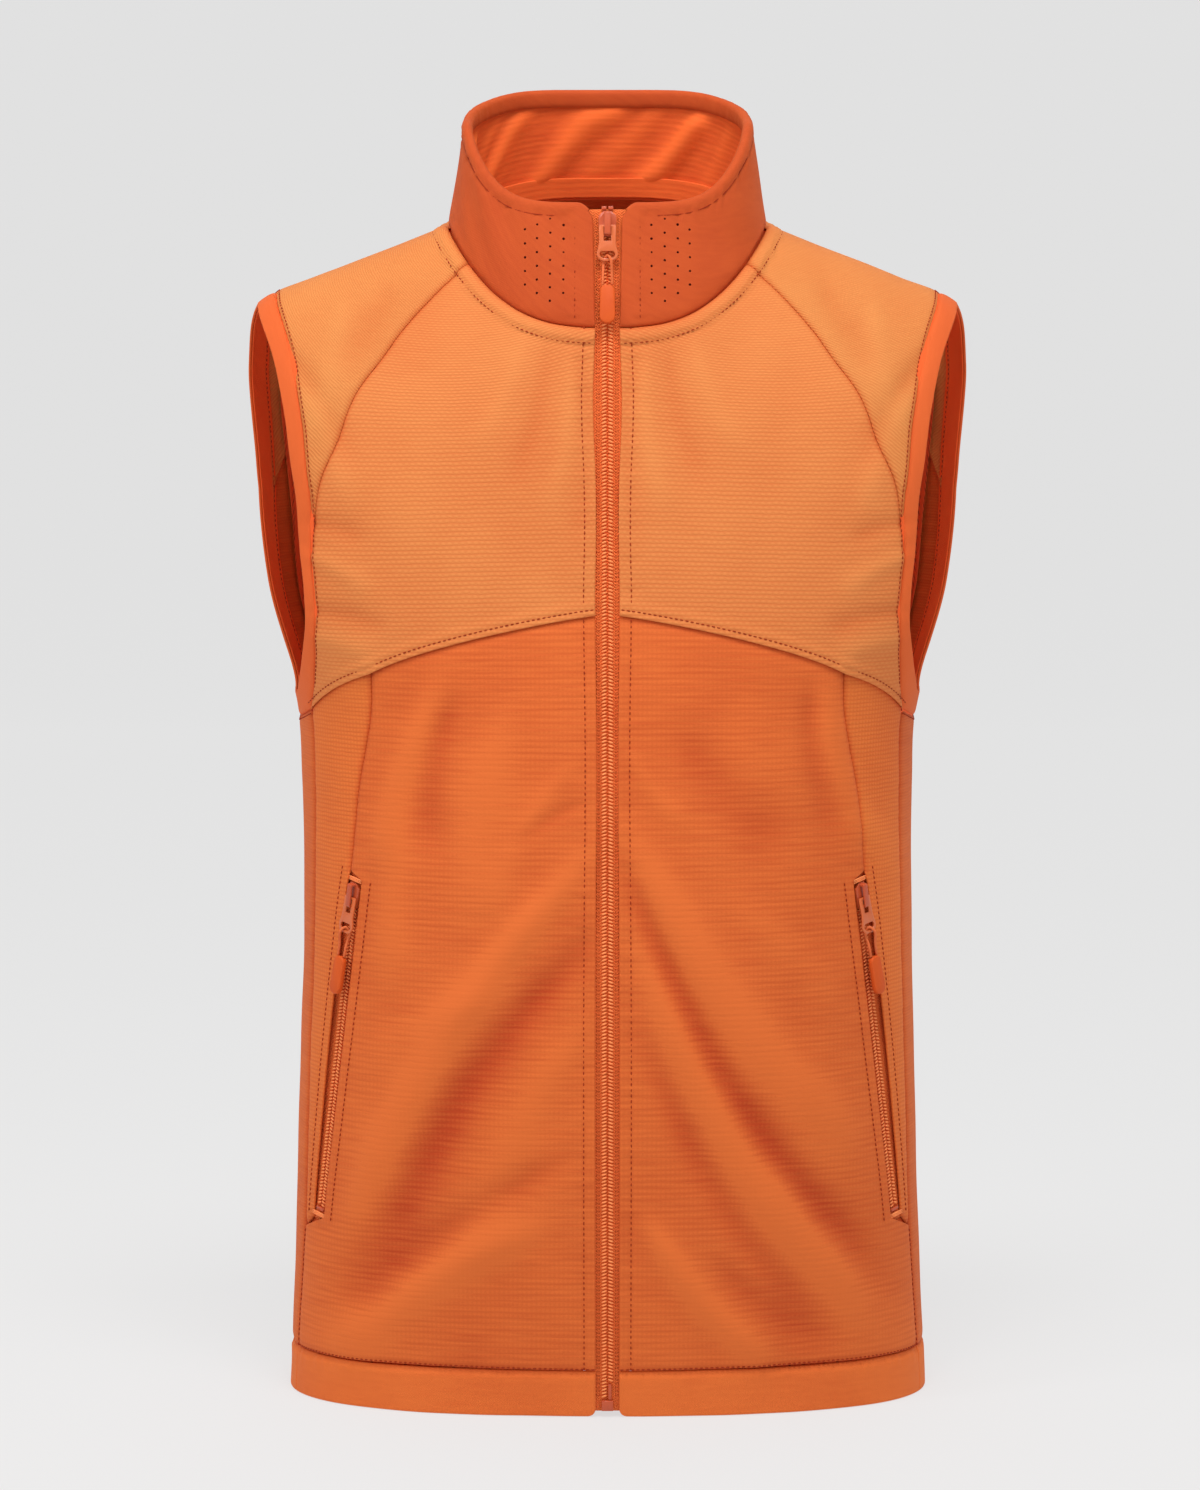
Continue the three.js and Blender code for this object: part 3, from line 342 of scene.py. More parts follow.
backFolds = [
    ((-120, 470), (-30, 380), 16, 1.6), ((120, 470), (34, 372), 16, 1.6), ((-140, 420), (-50, 330), 14, -1.2),
    ((140, 420), (56, 338), 14, -1.2), ((-150, 250), (-60, 120), 16, 1.5), ((150, 262), (66, 110), 16, 1.5),
    ((-20, 300), (-70, 90), 15, -1.0), ((20, 290), (80, 84), 15, -1.0), ((-60, 600), (-20, 520), 14, 0.9),
    ((60, 600), (16, 520), 14, 0.9), ((-165, 150), (-90, 50), 13, 1.1), ((160, 140), (96, 52), 13, 1.1)]


def ridges(x, z, folds):
    out = np.zeros_like(x)
    for (x0, z0), (x1, z1), width, height in folds:
        dx, dz = x1 - x0, z1 - z0
        length = math.hypot(dx, dz)
        s = ((x - x0) * dx + (z - z0) * dz) / length**2
        bow = 0.05 * length * np.sin(math.pi * np.clip(s, 0, 1))
        d = ((x - x0) * dz - (z - z0) * dx) / length - bow
        taper = np.clip(np.minimum(s + 0.15, 1.25 - s) / 0.4, 0, 1)
        taper = taper * taper * (3 - 2 * taper)
        spread = width * (0.75 + 0.6 * np.clip(s, 0, 1))
        out += height * taper * np.exp(-((d / spread) ** 2))
    return out


def clothRelief(points, side):
    # side is +1 on the wearer's left
    x, y, z = points[..., 0] * side, points[..., 1], points[..., 2]
    ahead = np.clip((-y - 6) / 34, 0, 1)
    behind = np.clip((y - 10) / 34, 0, 1)
    front = 1.5 * ridges(x, z,
                         frontFolds["left"] + frontFolds["right"]) + 1.3 * ridges(np.abs(x), z, chestFolds)
    rough = (0.35 * np.sin(x / 23 + 1.3 * np.sin(z / 41)) * np.sin(z / 37 + 0.8)
             + 0.2 * np.sin(x / 9.5 + z / 31) * np.sin(z / 14.5 + 1.7 * np.sin(x / 27)))
    return front * ahead + ridges(x, z, backFolds) * behind + rough


def smooth(x, low, high):
    u = np.clip((x - low) / (high - low), 0, 1)
    return u * u * (3 - 2 * u)


def bell(x, width):
    return np.exp(-((x / width) ** 2))


# What a seam does to the cloth beside it, by distance d from it and run s along it.
def seamRelief(kind, d, s, stitch):
    pucker = 0.6 * np.sin(s / 0.93 + 2 * np.sin(s / 17)) + 0.5 * np.sin(s / 1.37 + 1.1) + 0.5 * np.sin(s / 2.9)
    beside = d - stitch
    if kind == "lap":
        rise = 0.75 * (1 - smooth(d, 4.5, 10))
        return rise - 0.42 * bell(beside, 1.1) + 0.14 * pucker * bell(beside, 3.2)
    if kind == "under":
        return -1.7 * np.exp(-np.maximum(d + 1.5, 0) / 3.0) + 0.08 * pucker * bell(d, 5)
    if kind == "plain":
        return -1.55 * np.exp(-np.maximum(d, 0) / 1.6) + 0.12 * pucker * bell(d, 5)
    if kind == "fold":
        return -0.5 * bell(beside, 1.2) + 0.26 * pucker * bell(beside, 6.0)
    if kind == "stand":
        rise = 1.8 * (1 - smooth(d, stitch - 1.6, stitch + 1.0)) - 2.4 * np.exp(-d / 1.5)
        return rise - 0.5 * bell(beside - 0.6, 1.1) + 0.18 * pucker * bell(beside, 3.5)
    if kind == "welt":
        return 0.1 * (1 - smooth(d, 1.5, 6)) - 0.25 * bell(d - 7, 1.0)
    return np.zeros_like(d)


def linePoints(line, surface=body):
    s = np.linspace(0, 1, 400)
    at = along(line, s)
    return surface(at[:, 0], at[:, 1])


def seamDistances(points, line, surface=body):
    p = linePoints(line, surface)
    run = np.concatenate([[0], np.cumsum(np.linalg.norm(np.diff(p, axis=0), axis=1))])
    count = max(200, int(run[-1] / 0.7))
    s = np.linspace(0, run[-1], count)
    fine = np.stack([np.interp(s, run, p[:, k]) for k in range(3)], -1)
    tree = KDTree(count)
    for i, q in enumerate(fine):
        tree.insert(q, i)
    tree.balance()
    flat = points.reshape(-1, 3)
    found = [tree.find(q)[1:] for q in flat]
    d = np.array([f[1] for f in found]).reshape(points.shape[:-1])
    i = np.array([f[0] for f in found]).reshape(points.shape[:-1])
    return d, s[i]


# meshes
def spread(length, step, nearStart=True, nearEnd=True, under=(False, False)):
    # shares of a length, close together at its ends, where the cloth rolls
    rim = [0, 0.25, 0.6, 1.1, 1.8, 2.6, 3.4, 4.3, 5.4, 6.8]
    first = [r for r in rim if r < length / 2] if nearStart else [0]
    last = [length - r for r in rim if r < length / 2][::-1] if nearEnd else [length]
    count = max(1, int(round((last[0] - first[-1]) / step)))
    middle = list(np.linspace(first[-1], last[0], count + 1)[1:-1])
    marks = first + middle + last
    if under[0]:
        marks = [-1.6, -0.8] + marks
    if under[1]:
        marks = marks + [length + 0.8, length + 1.6]
    return np.array(marks) / length


def patch(inner, outer, bottom, top, us, vs):
    # places between two edges and two ends; shares past 0 or 1 carry straight on
    u, v = us[:, None, None], vs[None, :, None]
    cu, cv = np.clip(us, 0, 1), np.clip(vs, 0, 1)
    eu, ev = np.clip(us, 0.004, 0.996), np.clip(vs, 0.004, 0.996)

    def inside(us2, vs2):
        u2, v2 = us2[:, None, None], vs2[None, :, None]
        a, b = inner(vs2)[None], outer(vs2)[None]
        lo, hi = bottom(us2)[:, None], top(us2)[:, None]
        a0, a1, b0, b1 = (line(np.array([end]))[:, None] for line in (inner, outer) for end in (0.0, 1.0))
        low, high = a0 + (b0 - a0) * u2, a1 + (b1 - a1) * u2
        return a + (b - a) * u2 + (lo - low) * (1 - v2) + (hi - high) * v2

    base = inside(cu, cv)
    overU, overV = (us - cu)[:, None, None], (vs - cv)[None, :, None]
    slopeU = (base - inside(eu, cv)) / np.where(np.abs(cu - eu) < 1e-9, 1, cu - eu)[:, None, None]
    slopeV = (base - inside(cu, ev)) / np.where(np.abs(cv - ev) < 1e-9, 1, cv - ev)[None, :, None]
    return base + overU * slopeU + overV * slopeV


def runs(points):
    # how far each place of a grid is from its four rims
    du = np.concatenate([np.zeros((1,) + points.shape[1:2]),
                         np.cumsum(np.linalg.norm(np.diff(points, axis=0), axis=-1), 0)])
    dv = np.concatenate([np.zeros((points.shape[0], 1)),
                         np.cumsum(np.linalg.norm(np.diff(points, axis=1), axis=-1), 1)], 1)
    return du, du[-1:] - du, dv, dv[:, -1:] - dv


def meshFrom(name, points, faces, uv=None, material=None, smoothShade=True):
    mesh = bpy.data.meshes.new(name)
    place = (points + (0, zipArc["backShift"], 0)) / 1000
    mesh.from_pydata([], [], [])
    mesh.vertices.add(len(place))
    mesh.vertices.foreach_set("co", place.astype(np.float32).ravel())
    mesh.loops.add(faces.size)
    mesh.loops.foreach_set("vertex_index", faces.ravel().astype(np.int32))
    mesh.polygons.add(len(faces))
    mesh.polygons.foreach_set("loop_start", np.arange(0, faces.size, faces.shape[1], dtype=np.int32))
    mesh.polygons.foreach_set("loop_total", np.full(len(faces), faces.shape[1], dtype=np.int32))
    mesh.update(calc_edges=True)
    mesh.validate()
    if uv is not None:
        layer = mesh.uv_layers.new(name="cloth")
        layer.data.foreach_set("uv", (uv[faces.ravel()] / 10).astype(np.float32).ravel())
    mesh.polygons.foreach_set("use_smooth", np.full(len(faces), smoothShade))
    if material:
        mesh.materials.append(material)
    obj = bpy.data.objects.new(name, mesh)
    scene.collection.objects.link(obj)
    return obj


def gridFaces(cols, rows, wrap):
    i = np.arange(cols if wrap else cols - 1)
    j = np.arange(rows - 1)
    i, j = [q.ravel() for q in np.meshgrid(i, j, indexing="ij")]
    n = (i + 1) % cols
    return np.stack([i * rows + j, n * rows + j, n * rows + j + 1, i * rows + j + 1], -1)


def closedSheet(name, outerP, innerP, uv, material, wrap=False, mirror=False, paintedShading=None):
    # two grids of points joined into one closed cloth
    cols, rows = outerP.shape[:2]
    size = cols * rows
    top = gridFaces(cols, rows, wrap)
    low = top[:, ::-1] + size
    walls = []
    i = np.arange(cols if wrap else cols - 1)
    n = (i + 1) % cols
    walls.append(np.stack([i * rows, i * rows + size, n * rows + size, n * rows], -1))
    last = rows - 1
    walls.append(np.stack([n * rows + last, n * rows + last + size, i * rows + last + size,
                           i * rows + last], -1))
    if not wrap:
        j = np.arange(rows - 1)
        e = (cols - 1) * rows
        walls.append(np.stack([j + 1, j + 1 + size, j + size, j], -1))
        walls.append(np.stack([e + j, e + j + size, e + j + 1 + size, e + j + 1], -1))
    faces = np.vstack([top, low] + walls)
    points = np.vstack([outerP.reshape(-1, 3), innerP.reshape(-1, 3)])
    cloth = np.vstack([uv.reshape(-1, 2)] * 2)
    if mirror:
        points = points * (-1, 1, 1)
        cloth = cloth * (-1, 1)
        faces = faces[:, ::-1]
    obj = meshFrom(name, points, faces, cloth, material)
    # the optional per-point values are painted shade and painted highlight, stored for the cloth finishes to
    # darken and lighten the colour
    if paintedShading is not None:
        values = np.concatenate([paintedShading.ravel()] * 2).astype(np.float32)
        obj.data.attributes.new("paintedShading", "FLOAT", "POINT").data.foreach_set("value", values)
    return obj


def clothPanel(name, place, us, vs, seams, material, side=1, thickness=1.3, lift=0.0,
               heavyEdge=None, folds=True, nodes=None):
    # one cut piece, raised by its folds and drawn in at its seams, with painted shade in its fold valleys and
    # seam grooves and painted highlight on its fold crests
    a, t = place[..., 0], place[..., 1]
    points = body(a, t)
    normals = outward(body, a, t)
    beyond = ((us < 0) | (us > 1))[:, None] | ((vs < 0) | (vs > 1))[None, :]
    relief = np.full(a.shape, lift, float)
    paintedShading = np.zeros(a.shape)
    if folds:
        wave = clothRelief(points, side)
        for line, kind, _ in seams:
            if kind == "welt":
                wave = wave * smooth(seamDistances(points, line)[0], 0, pocketZip["calm"])
        relief += wave
        # painted shading: fold valleys darken the cloth's colour and fold crests lighten it
        paintedShading = np.clip(-relief / 4.2, -0.55, 1)
    for line, kind, stitch in seams:
        d, s = seamDistances(points, line)
        if kind == "under":
            d = np.where(beyond, -d, d)
        relief += seamRelief(kind, d, s, stitch)
        if kind in ("plain", "under", "stand"):
            # painted shade darkens the cloth along the sunken seam
            paintedShading += 0.5 * np.exp(-((d / 2.0) ** 2))
    uLow, uHigh, vLow, vHigh = runs(points)
    rim = np.minimum(np.minimum(uLow, uHigh), np.minimum(vLow, vHigh))
    thick = np.full(a.shape, thickness, float)
    if heavyEdge == "inner":
        thick += 0.7 * (1 - smooth(uLow, 5.5, 9))
    r = np.clip(rim / (thickness * 0.55), 0, 1)
    half = thick / 2 * np.sqrt(np.maximum(1 - (1 - r) ** 2, 0.02))
    middle = relief - thick / 2
    outerP = points + normals * (middle + half)[..., None]
    innerP = points + normals * (middle - half)[..., None]
    u, v = clothPlace(a, t)
    obj = closedSheet(name, outerP, innerP, np.stack([u, v], -1), material, mirror=side < 0, paintedShading=paintedShading)
    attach(obj, "vest")
    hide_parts(*(nodes or [name]))
    return obj


def fromScreen(r, g, b):
    return tuple(((c / 255 + 0.055) / 1.055) ** 2.4 for c in (r, g, b)) + (1,)


class Wiring:
    # short hands for building a material's nodes
    def __init__(self, name):
        self.material = bpy.data.materials.new(name)
        self.material.use_nodes = True
        self.nodes = self.material.node_tree.nodes
        self.links = self.material.node_tree.links
        self.shader = self.nodes["Principled BSDF"]

    def add(self, kind, **values):
        node = self.nodes.new(kind)
        for key, value in values.items():
            setattr(node, key, value)
        return node

    def put(self, socket, value):
        if isinstance(value, (int, float, tuple)):
            socket.default_value = value
        else:
            self.links.new(value, socket)

    def math(self, operation, *values):
        node = self.add("ShaderNodeMath", operation=operation)
        for k, value in enumerate(values):
            self.put(node.inputs[k], value)
        return node.outputs[0]

    def wave(self, value, pitch, shift=0.0):
        turns = self.math("MULTIPLY_ADD", value, 2 * math.pi / pitch, shift)
        return self.math("MULTIPLY_ADD", self.math("SINE", turns), 0.5, 0.5)

    def noise(self, vector, stretch, detail=3.0, rough=0.55):
        mapping = self.add("ShaderNodeMapping")
        self.links.new(vector, mapping.inputs["Vector"])
        mapping.inputs["Scale"].default_value = stretch
        node = self.add("ShaderNodeTexNoise")
        self.links.new(mapping.outputs[0], node.inputs["Vector"])
        node.inputs["Scale"].default_value = 1.0
        node.inputs["Detail"].default_value = detail
        node.inputs["Roughness"].default_value = rough
        return node.outputs["Fac"]

    def mix(self, factor, low, high):
        node = self.add("ShaderNodeMix", data_type="RGBA")
        self.put(node.inputs["Factor"], factor)
        self.put(node.inputs["A"] if not isinstance(low, tuple) else node.inputs[6], low)
        self.put(node.inputs[7], high)
        return node.outputs[2]


def weaveHeight(w, x, y, s):
    across, up = s["pitch"]
    kind = s["weave"]
    if kind in ("dobby", "grid"):
        step = 0.5 if kind == "dobby" else 0.0
        odd = w.math("MULTIPLY", w.math("FLOOR", w.math("DIVIDE", y, up)), step * across)
        row = w.wave(y, up)
        dash = w.wave(w.math("ADD", x, odd), across)
        return w.math("MULTIPLY", w.math("POWER", row, 0.6), w.math("MULTIPLY_ADD", dash, 0.55, 0.45))
    if kind == "twill":
        return w.wave(w.math("ADD", w.math("MULTIPLY", x, 0.8), y), up)
    if kind == "herringbone":
        return w.wave(w.math("ADD", w.math("PINGPONG", x, across), y), up)
    if kind == "rib":
        return w.wave(y, up)
    if kind == "dimple":
        odd = w.math("MULTIPLY", w.math("FLOOR", w.math("DIVIDE", y, up)), 0.37)
        dx = w.math("SUBTRACT", w.math("FRACT", w.math("ADD", w.math("DIVIDE", x, across), odd)), 0.5)
        dy = w.math("SUBTRACT", w.math("FRACT", w.math("DIVIDE", y, up)), 0.5)
        far = w.math("SQRT", w.math("ADD", w.math("MULTIPLY", dx, dx), w.math("MULTIPLY", dy, dy)))
        return w.math("SMOOTH_MIN", w.math("MULTIPLY", far, 3.2), 1.0, 0.2)
    return w.wave(w.math("ADD", x, w.wave(y, up)), across)


def clothFinish(name, s):
    # weave and streaks are laid out in millimetres on the piece's own cloth map
    w = Wiring(name)
    place = w.add("ShaderNodeUVMap", uv_map="cloth")
    inMm = w.add("ShaderNodeMapping")
    w.links.new(place.outputs[0], inMm.inputs["Vector"])
    inMm.inputs["Scale"].default_value = (10, 10, 10)
    inMm.inputs["Rotation"].default_value = (0, 0, math.radians(s.get("turn", 0)))
    at = inMm.outputs[0]
    parts = w.add("ShaderNodeSeparateXYZ")
    w.links.new(at, parts.inputs[0])
    wobble = w.noise(at, (0.12, 0.12, 1), 2.0)
    x = w.math("ADD", parts.outputs[0], w.math("MULTIPLY", wobble, s.get("wander", 1.2)))
    y = w.math("ADD", parts.outputs[1], w.math("MULTIPLY", wobble, s.get("wander", 1.2)))
    weave = weaveHeight(w, x, y, s)
    streak = w.noise(at, s.get("streakSize", (0.05, 0.42, 1)), 2.5, 0.6)
    grain = w.noise(at, (1.6, 1.6, 1), 2.0, 0.7)
    cloud = w.noise(at, (0.012, 0.012, 1), 2.0, 0.5)
    shade = w.math("MULTIPLY", w.math("SUBTRACT", 1.0, weave), s["weaveShade"])
    shade = w.math("ADD", shade, w.math("MULTIPLY", w.math("SUBTRACT", streak, 0.42),
                                        s.get("streakShade", 0.3)))
    shade = w.math("ADD", shade, w.math("MULTIPLY", w.math("SUBTRACT", grain, 0.45),
                                        s.get("grainShade", 0.35)))
    shade = w.math("ADD", shade, w.math("MULTIPLY", w.math("SUBTRACT", cloud, 0.45), 0.45))
    # painted shading: the stored per-point painted shade and painted highlight darken and lighten the cloth's
    # colour
    paintedShading = w.add("ShaderNodeAttribute", attribute_type="GEOMETRY", attribute_name="paintedShading")
    shade = w.math("MULTIPLY_ADD", paintedShading.outputs["Fac"], s.get("paintedShadingStrength", 0.75), shade)
    node = w.math("MAXIMUM", w.math("MINIMUM", shade, 1.0), 0.0)
    w.links.new(w.mix(node, fromScreen(*s["colour"]), fromScreen(*s["deep"])), w.shader.inputs["Base Color"])
    rough = w.math("MULTIPLY_ADD", grain, 0.16, s.get("roughness", 0.78) - 0.08)
    w.links.new(rough, w.shader.inputs["Roughness"])
    height = w.math("ADD", w.math("MULTIPLY", weave, s["relief"]),
                    w.math("MULTIPLY", grain, s.get("fuzz", 0.25)))
    height = w.math("ADD", height, w.math("MULTIPLY", streak, s.get("streakRelief", 0.3)))
    bump = w.add("ShaderNodeBump")
    bump.inputs["Strength"].default_value = s.get("bump", 0.45)
    bump.inputs["Distance"].default_value = 0.0005
    w.links.new(height, bump.inputs["Height"])
    w.links.new(bump.outputs[0], w.shader.inputs["Normal"])
    w.shader.inputs["Sheen Weight"].default_value = s.get("sheen", 0.25)
    w.shader.inputs["Sheen Roughness"].default_value = 0.5
    w.shader.inputs["Sheen Tint"].default_value = fromScreen(255, 150, 80)
    w.shader.inputs["Specular IOR Level"].default_value = s.get("gloss", 0.3)
    return w.material


clothFinishes = {
    "chest": {"colour": (227, 137, 72), "deep": (204, 91, 37), "weave": "dobby", "pitch": (3.6, 2.5),
              "weaveShade": 0.42,
              "relief": 0.9, "streakShade": 0.3},
    "shoulder": {"colour": (224, 141, 74), "deep": (203, 98, 41), "weave": "twill", "pitch": (2.0, 2.3),
                 "weaveShade": 0.38,
                 "relief": 0.8, "streakShade": 0.3},
    "lower": {"colour": (228, 110, 46), "deep": (189, 64, 18), "weave": "grid", "pitch": (2.6, 3.5),
              "weaveShade": 0.26,
              "relief": 0.6, "streakShade": 0.75, "streakSize": (0.03, 0.5, 1), "streakRelief": 1.1,
              "grainShade": 0.55},
    "side": {"colour": (234, 121, 51), "deep": (202, 78, 26), "weave": "grid", "pitch": (2.4, 2.4),
             "weaveShade": 0.4,
             "relief": 0.8, "streakShade": 0.4},
    "back": {"colour": (223, 105, 43), "deep": (189, 65, 20), "weave": "grid", "pitch": (1.9, 1.7),
             "weaveShade": 0.25,
             "relief": 0.6, "streakShade": 0.8, "streakSize": (0.022, 0.42, 1), "streakRelief": 0.8},
    "hem": {"colour": (237, 116, 48), "deep": (205, 76, 25), "weave": "plain", "pitch": (1.5, 1.5),
            "weaveShade": 0.18,
            "relief": 0.4, "streakShade": 0.5},
    "collar": {"colour": (202, 81, 28), "deep": (171, 49, 11), "weave": "plain", "pitch": (1.3, 1.3),
               "weaveShade": 0.15,
               "relief": 0.4, "streakShade": 0.6, "turn": 18, "streakSize": (0.03, 0.3, 1)},
    "band": {"colour": (232, 103, 44), "deep": (208, 80, 31), "weave": "plain", "pitch": (1.2, 1.2),
             "weaveShade": 0.12,
             "relief": 0.3, "streakShade": 0.2, "sheen": 0.2},
    # the tape's colour is lifted as painted light, to offset the shade of the recess the zips lie in
    "tape": {"colour": (255, 129, 61), "deep": (223, 79, 27), "weave": "herringbone", "pitch": (1.6, 1.5),
             "weaveShade": 0.75,
             "relief": 1.4, "streakShade": 0.1, "wander": 0.1, "bump": 0.7, "sheen": 0.06, "grainShade": 0.1},
    # the mesh's dimple holes carry painted shade, dark as the shadowed shell behind them
    "mesh": {"colour": (232, 88, 40), "deep": (136, 30, 8), "weave": "dimple", "pitch": (4.6, 4.2),
             "weaveShade": 1.0,
             "relief": 1.8, "streakShade": 0.2, "turn": 24, "bump": 0.8},
    # the collar lining's painted shading is turned round: painted highlight on the folds that bulge in towards
    # the neck, painted shade between them
    "ribbed": {"colour": (250, 112, 46), "deep": (196, 57, 16), "weave": "rib", "pitch": (3.0, 3.4),
               "weaveShade": 0.14,
               "relief": 0.25, "streakShade": 0.7, "streakSize": (0.05, 0.5, 1), "sheen": 0.35,
               "paintedShadingStrength": -1.0},
    # the facing's colour is lifted above the shell cloths' as painted light, to offset the shade inside the
    # armholes and pocket bags
    "facing": {"colour": (255, 105, 45), "deep": (252, 76, 28), "weave": "plain", "pitch": (1.2, 1.2),
               "weaveShade": 0.12,
               "relief": 0.3, "streakShade": 0.2},
}
cloths = {name: clothFinish(name + "Cloth", s) for name, s in clothFinishes.items()}


def hardFinish(name, s):
    w = Wiring(name)
    place = w.add("ShaderNodeTexCoord").outputs["Object"]
    speckle = w.noise(place, (900, 900, 900), 2.0)
    cloud = w.noise(place, (90, 90, 90), 2.0)
    worn = w.math("MULTIPLY_ADD", w.math("SUBTRACT", cloud, 0.5), 0.9,
                  w.math("MULTIPLY", speckle, s["speckle"]))
    worn = w.math("MAXIMUM", w.math("MINIMUM", worn, 1.0), 0.0)
    w.links.new(w.mix(worn, fromScreen(*s["colour"]), fromScreen(*s["deep"])), w.shader.inputs["Base Color"])
    w.links.new(w.math("MULTIPLY_ADD", speckle, 0.2, s["roughness"] - 0.1), w.shader.inputs["Roughness"])
    bump = w.add("ShaderNodeBump")
    bump.inputs["Strength"].default_value = s["bump"]
    bump.inputs["Distance"].default_value = 0.0001
    w.links.new(speckle, bump.inputs["Height"])
    w.links.new(bump.outputs[0], w.shader.inputs["Normal"])
    w.shader.inputs["Specular IOR Level"].default_value = s.get("gloss", 0.5)
    w.shader.inputs["Coat Weight"].default_value = s.get("coat", 0.0)
    w.shader.inputs["Coat Roughness"].default_value = 0.3
    return w.material


hardFinishes = {
    "paint": {"colour": (218, 107, 54), "deep": (195, 82, 36), "roughness": 0.38, "speckle": 0.3,
              "bump": 0.15, "coat": 0.1},
    "slider": {"colour": (200, 82, 38), "deep": (169, 59, 23), "roughness": 0.4, "speckle": 0.3,
               "bump": 0.2, "coat": 0.1},
    "grip": {"colour": (216, 88, 26), "deep": (198, 70, 18), "roughness": 0.6, "speckle": 0.25,
             "bump": 0.35, "gloss": 0.25},
    "cord": {"colour": (234, 120, 66), "deep": (205, 84, 39), "roughness": 0.7, "speckle": 0.7, "bump": 0.8,
             "gloss": 0.3},
    # the coil's colour is lifted as painted light, to offset the shade of the zip's recess; the pocket bar
    # tacks share this finish
    "coil": {"colour": (255, 153, 90), "deep": (250, 116, 61), "roughness": 0.6, "speckle": 0.3,
             "bump": 0.1, "gloss": 0.2},
    "thread": {"colour": (168, 52, 17), "deep": (126, 32, 9), "roughness": 0.75, "speckle": 0.6,
               "bump": 0.5, "gloss": 0.2},
    # the perforations are near-black marks: painted shade standing in for the shadow inside the holes
    "perforation": {"colour": (58, 12, 10), "deep": (26, 6, 6), "roughness": 0.95, "speckle": 0.3,
                    "bump": 0.1, "gloss": 0.02},
}
hards = {name: hardFinish(name + "Finish", s) for name, s in hardFinishes.items()}
print("finishes made")


# stitches, coil teeth and perforations: one small rounded shape set out along a line
def repeatTree():
    tree = bpy.data.node_groups.new("setOutAlong", "GeometryNodeTree")
    face = tree.interface
    face.new_socket("Geometry", in_out="INPUT", socket_type="NodeSocketGeometry")
    for label in ("Length", "Width", "Height"):
        face.new_socket(label, in_out="INPUT", socket_type="NodeSocketFloat")
    face.new_socket("Segments", in_out="INPUT", socket_type="NodeSocketInt")
    face.new_socket("Rings", in_out="INPUT", socket_type="NodeSocketInt")
    face.new_socket("Finish", in_out="INPUT", socket_type="NodeSocketMaterial")
    face.new_socket("Geometry", in_out="OUTPUT", socket_type="NodeSocketGeometry")
    nodes, links = tree.nodes, tree.links
    given, result = nodes.new("NodeGroupInput"), nodes.new("NodeGroupOutput")
    ball = nodes.new("GeometryNodeMeshUVSphere")
    ball.inputs["Radius"].default_value = 0.5
    links.new(given.outputs["Segments"], ball.inputs["Segments"])
    links.new(given.outputs["Rings"], ball.inputs["Rings"])
    size = nodes.new("ShaderNodeCombineXYZ")
    for k, label in enumerate(("Length", "Width", "Height")):
        links.new(given.outputs[label], size.inputs[k])
    turns = []
    for label in ("alongLine", "outOfCloth"):
        read = nodes.new("GeometryNodeInputNamedAttribute")
        read.data_type = "FLOAT_VECTOR"
        read.inputs["Name"].default_value = label
        turn = nodes.new("FunctionNodeAlignRotationToVector")
        turn.axis = "X" if label == "alongLine" else "Z"
        turn.pivot_axis = "AUTO" if label == "alongLine" else "X"
        links.new(read.outputs["Attribute"], turn.inputs["Vector"])
        if turns:
            links.new(turns[-1].outputs[0], turn.inputs["Rotation"])
        turns.append(turn)
    setOut = nodes.new("GeometryNodeInstanceOnPoints")
    links.new(given.outputs["Geometry"], setOut.inputs["Points"])
    links.new(ball.outputs["Mesh"], setOut.inputs["Instance"])
    links.new(turns[-1].outputs[0], setOut.inputs["Rotation"])
    links.new(size.outputs[0], setOut.inputs["Scale"])
    real = nodes.new("GeometryNodeRealizeInstances")
    links.new(setOut.outputs[0], real.inputs[0])
    soft = nodes.new("GeometryNodeSetShadeSmooth")
    links.new(real.outputs[0], soft.inputs["Geometry"])
    paint = nodes.new("GeometryNodeSetMaterial")
    links.new(soft.outputs[0], paint.inputs["Geometry"])
    links.new(given.outputs["Finish"], paint.inputs["Material"])
    links.new(paint.outputs[0], result.inputs[0])
    return tree


setOutAlong = repeatTree()


def setOut(name, rows, size, finish, slot, body="vest", segments=6, rings=4):
    # rows are (places, directions along, directions out), in millimetres
    places3, alongs, outs = (np.vstack([row[k] for row in rows]) for k in range(3))
    source = bpy.data.meshes.new(name + "Places")
    source.vertices.add(len(places3))
    source.vertices.foreach_set("co",
                                ((places3 + (0, zipArc["backShift"], 0)) / 1000).astype(np.float32).ravel())
    for label, values in (("alongLine", alongs), ("outOfCloth", outs)):
        source.attributes.new(label, "FLOAT_VECTOR",
                              "POINT").data.foreach_set("vector", values.astype(np.float32).ravel())
    holder = bpy.data.objects.new(name + "Places", source)
    scene.collection.objects.link(holder)
    modifier = holder.modifiers.new("setOut", "NODES")
    modifier.node_group = setOutAlong
    ids = {item.name: item.identifier for item in setOutAlong.interface.items_tree
           if item.item_type == "SOCKET" and item.in_out == "INPUT"}
    for label, value in zip(("Length", "Width", "Height"), size):
        modifier[ids[label]] = value / 1000
    modifier[ids["Segments"]] = segments
    modifier[ids["Rings"]] = rings
    modifier[ids["Finish"]] = finish
    made = bpy.data.meshes.new_from_object(holder.evaluated_get(bpy.context.evaluated_depsgraph_get()))
    bpy.data.objects.remove(holder)
    obj = bpy.data.objects.new(name, made)
    scene.collection.objects.link(obj)
    for label in ("alongLine", "outOfCloth"):
        if label in made.attributes:
            made.attributes.remove(made.attributes[label])
    if not made.materials:
        made.materials.append(finish)
    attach(obj, body)
    return obj


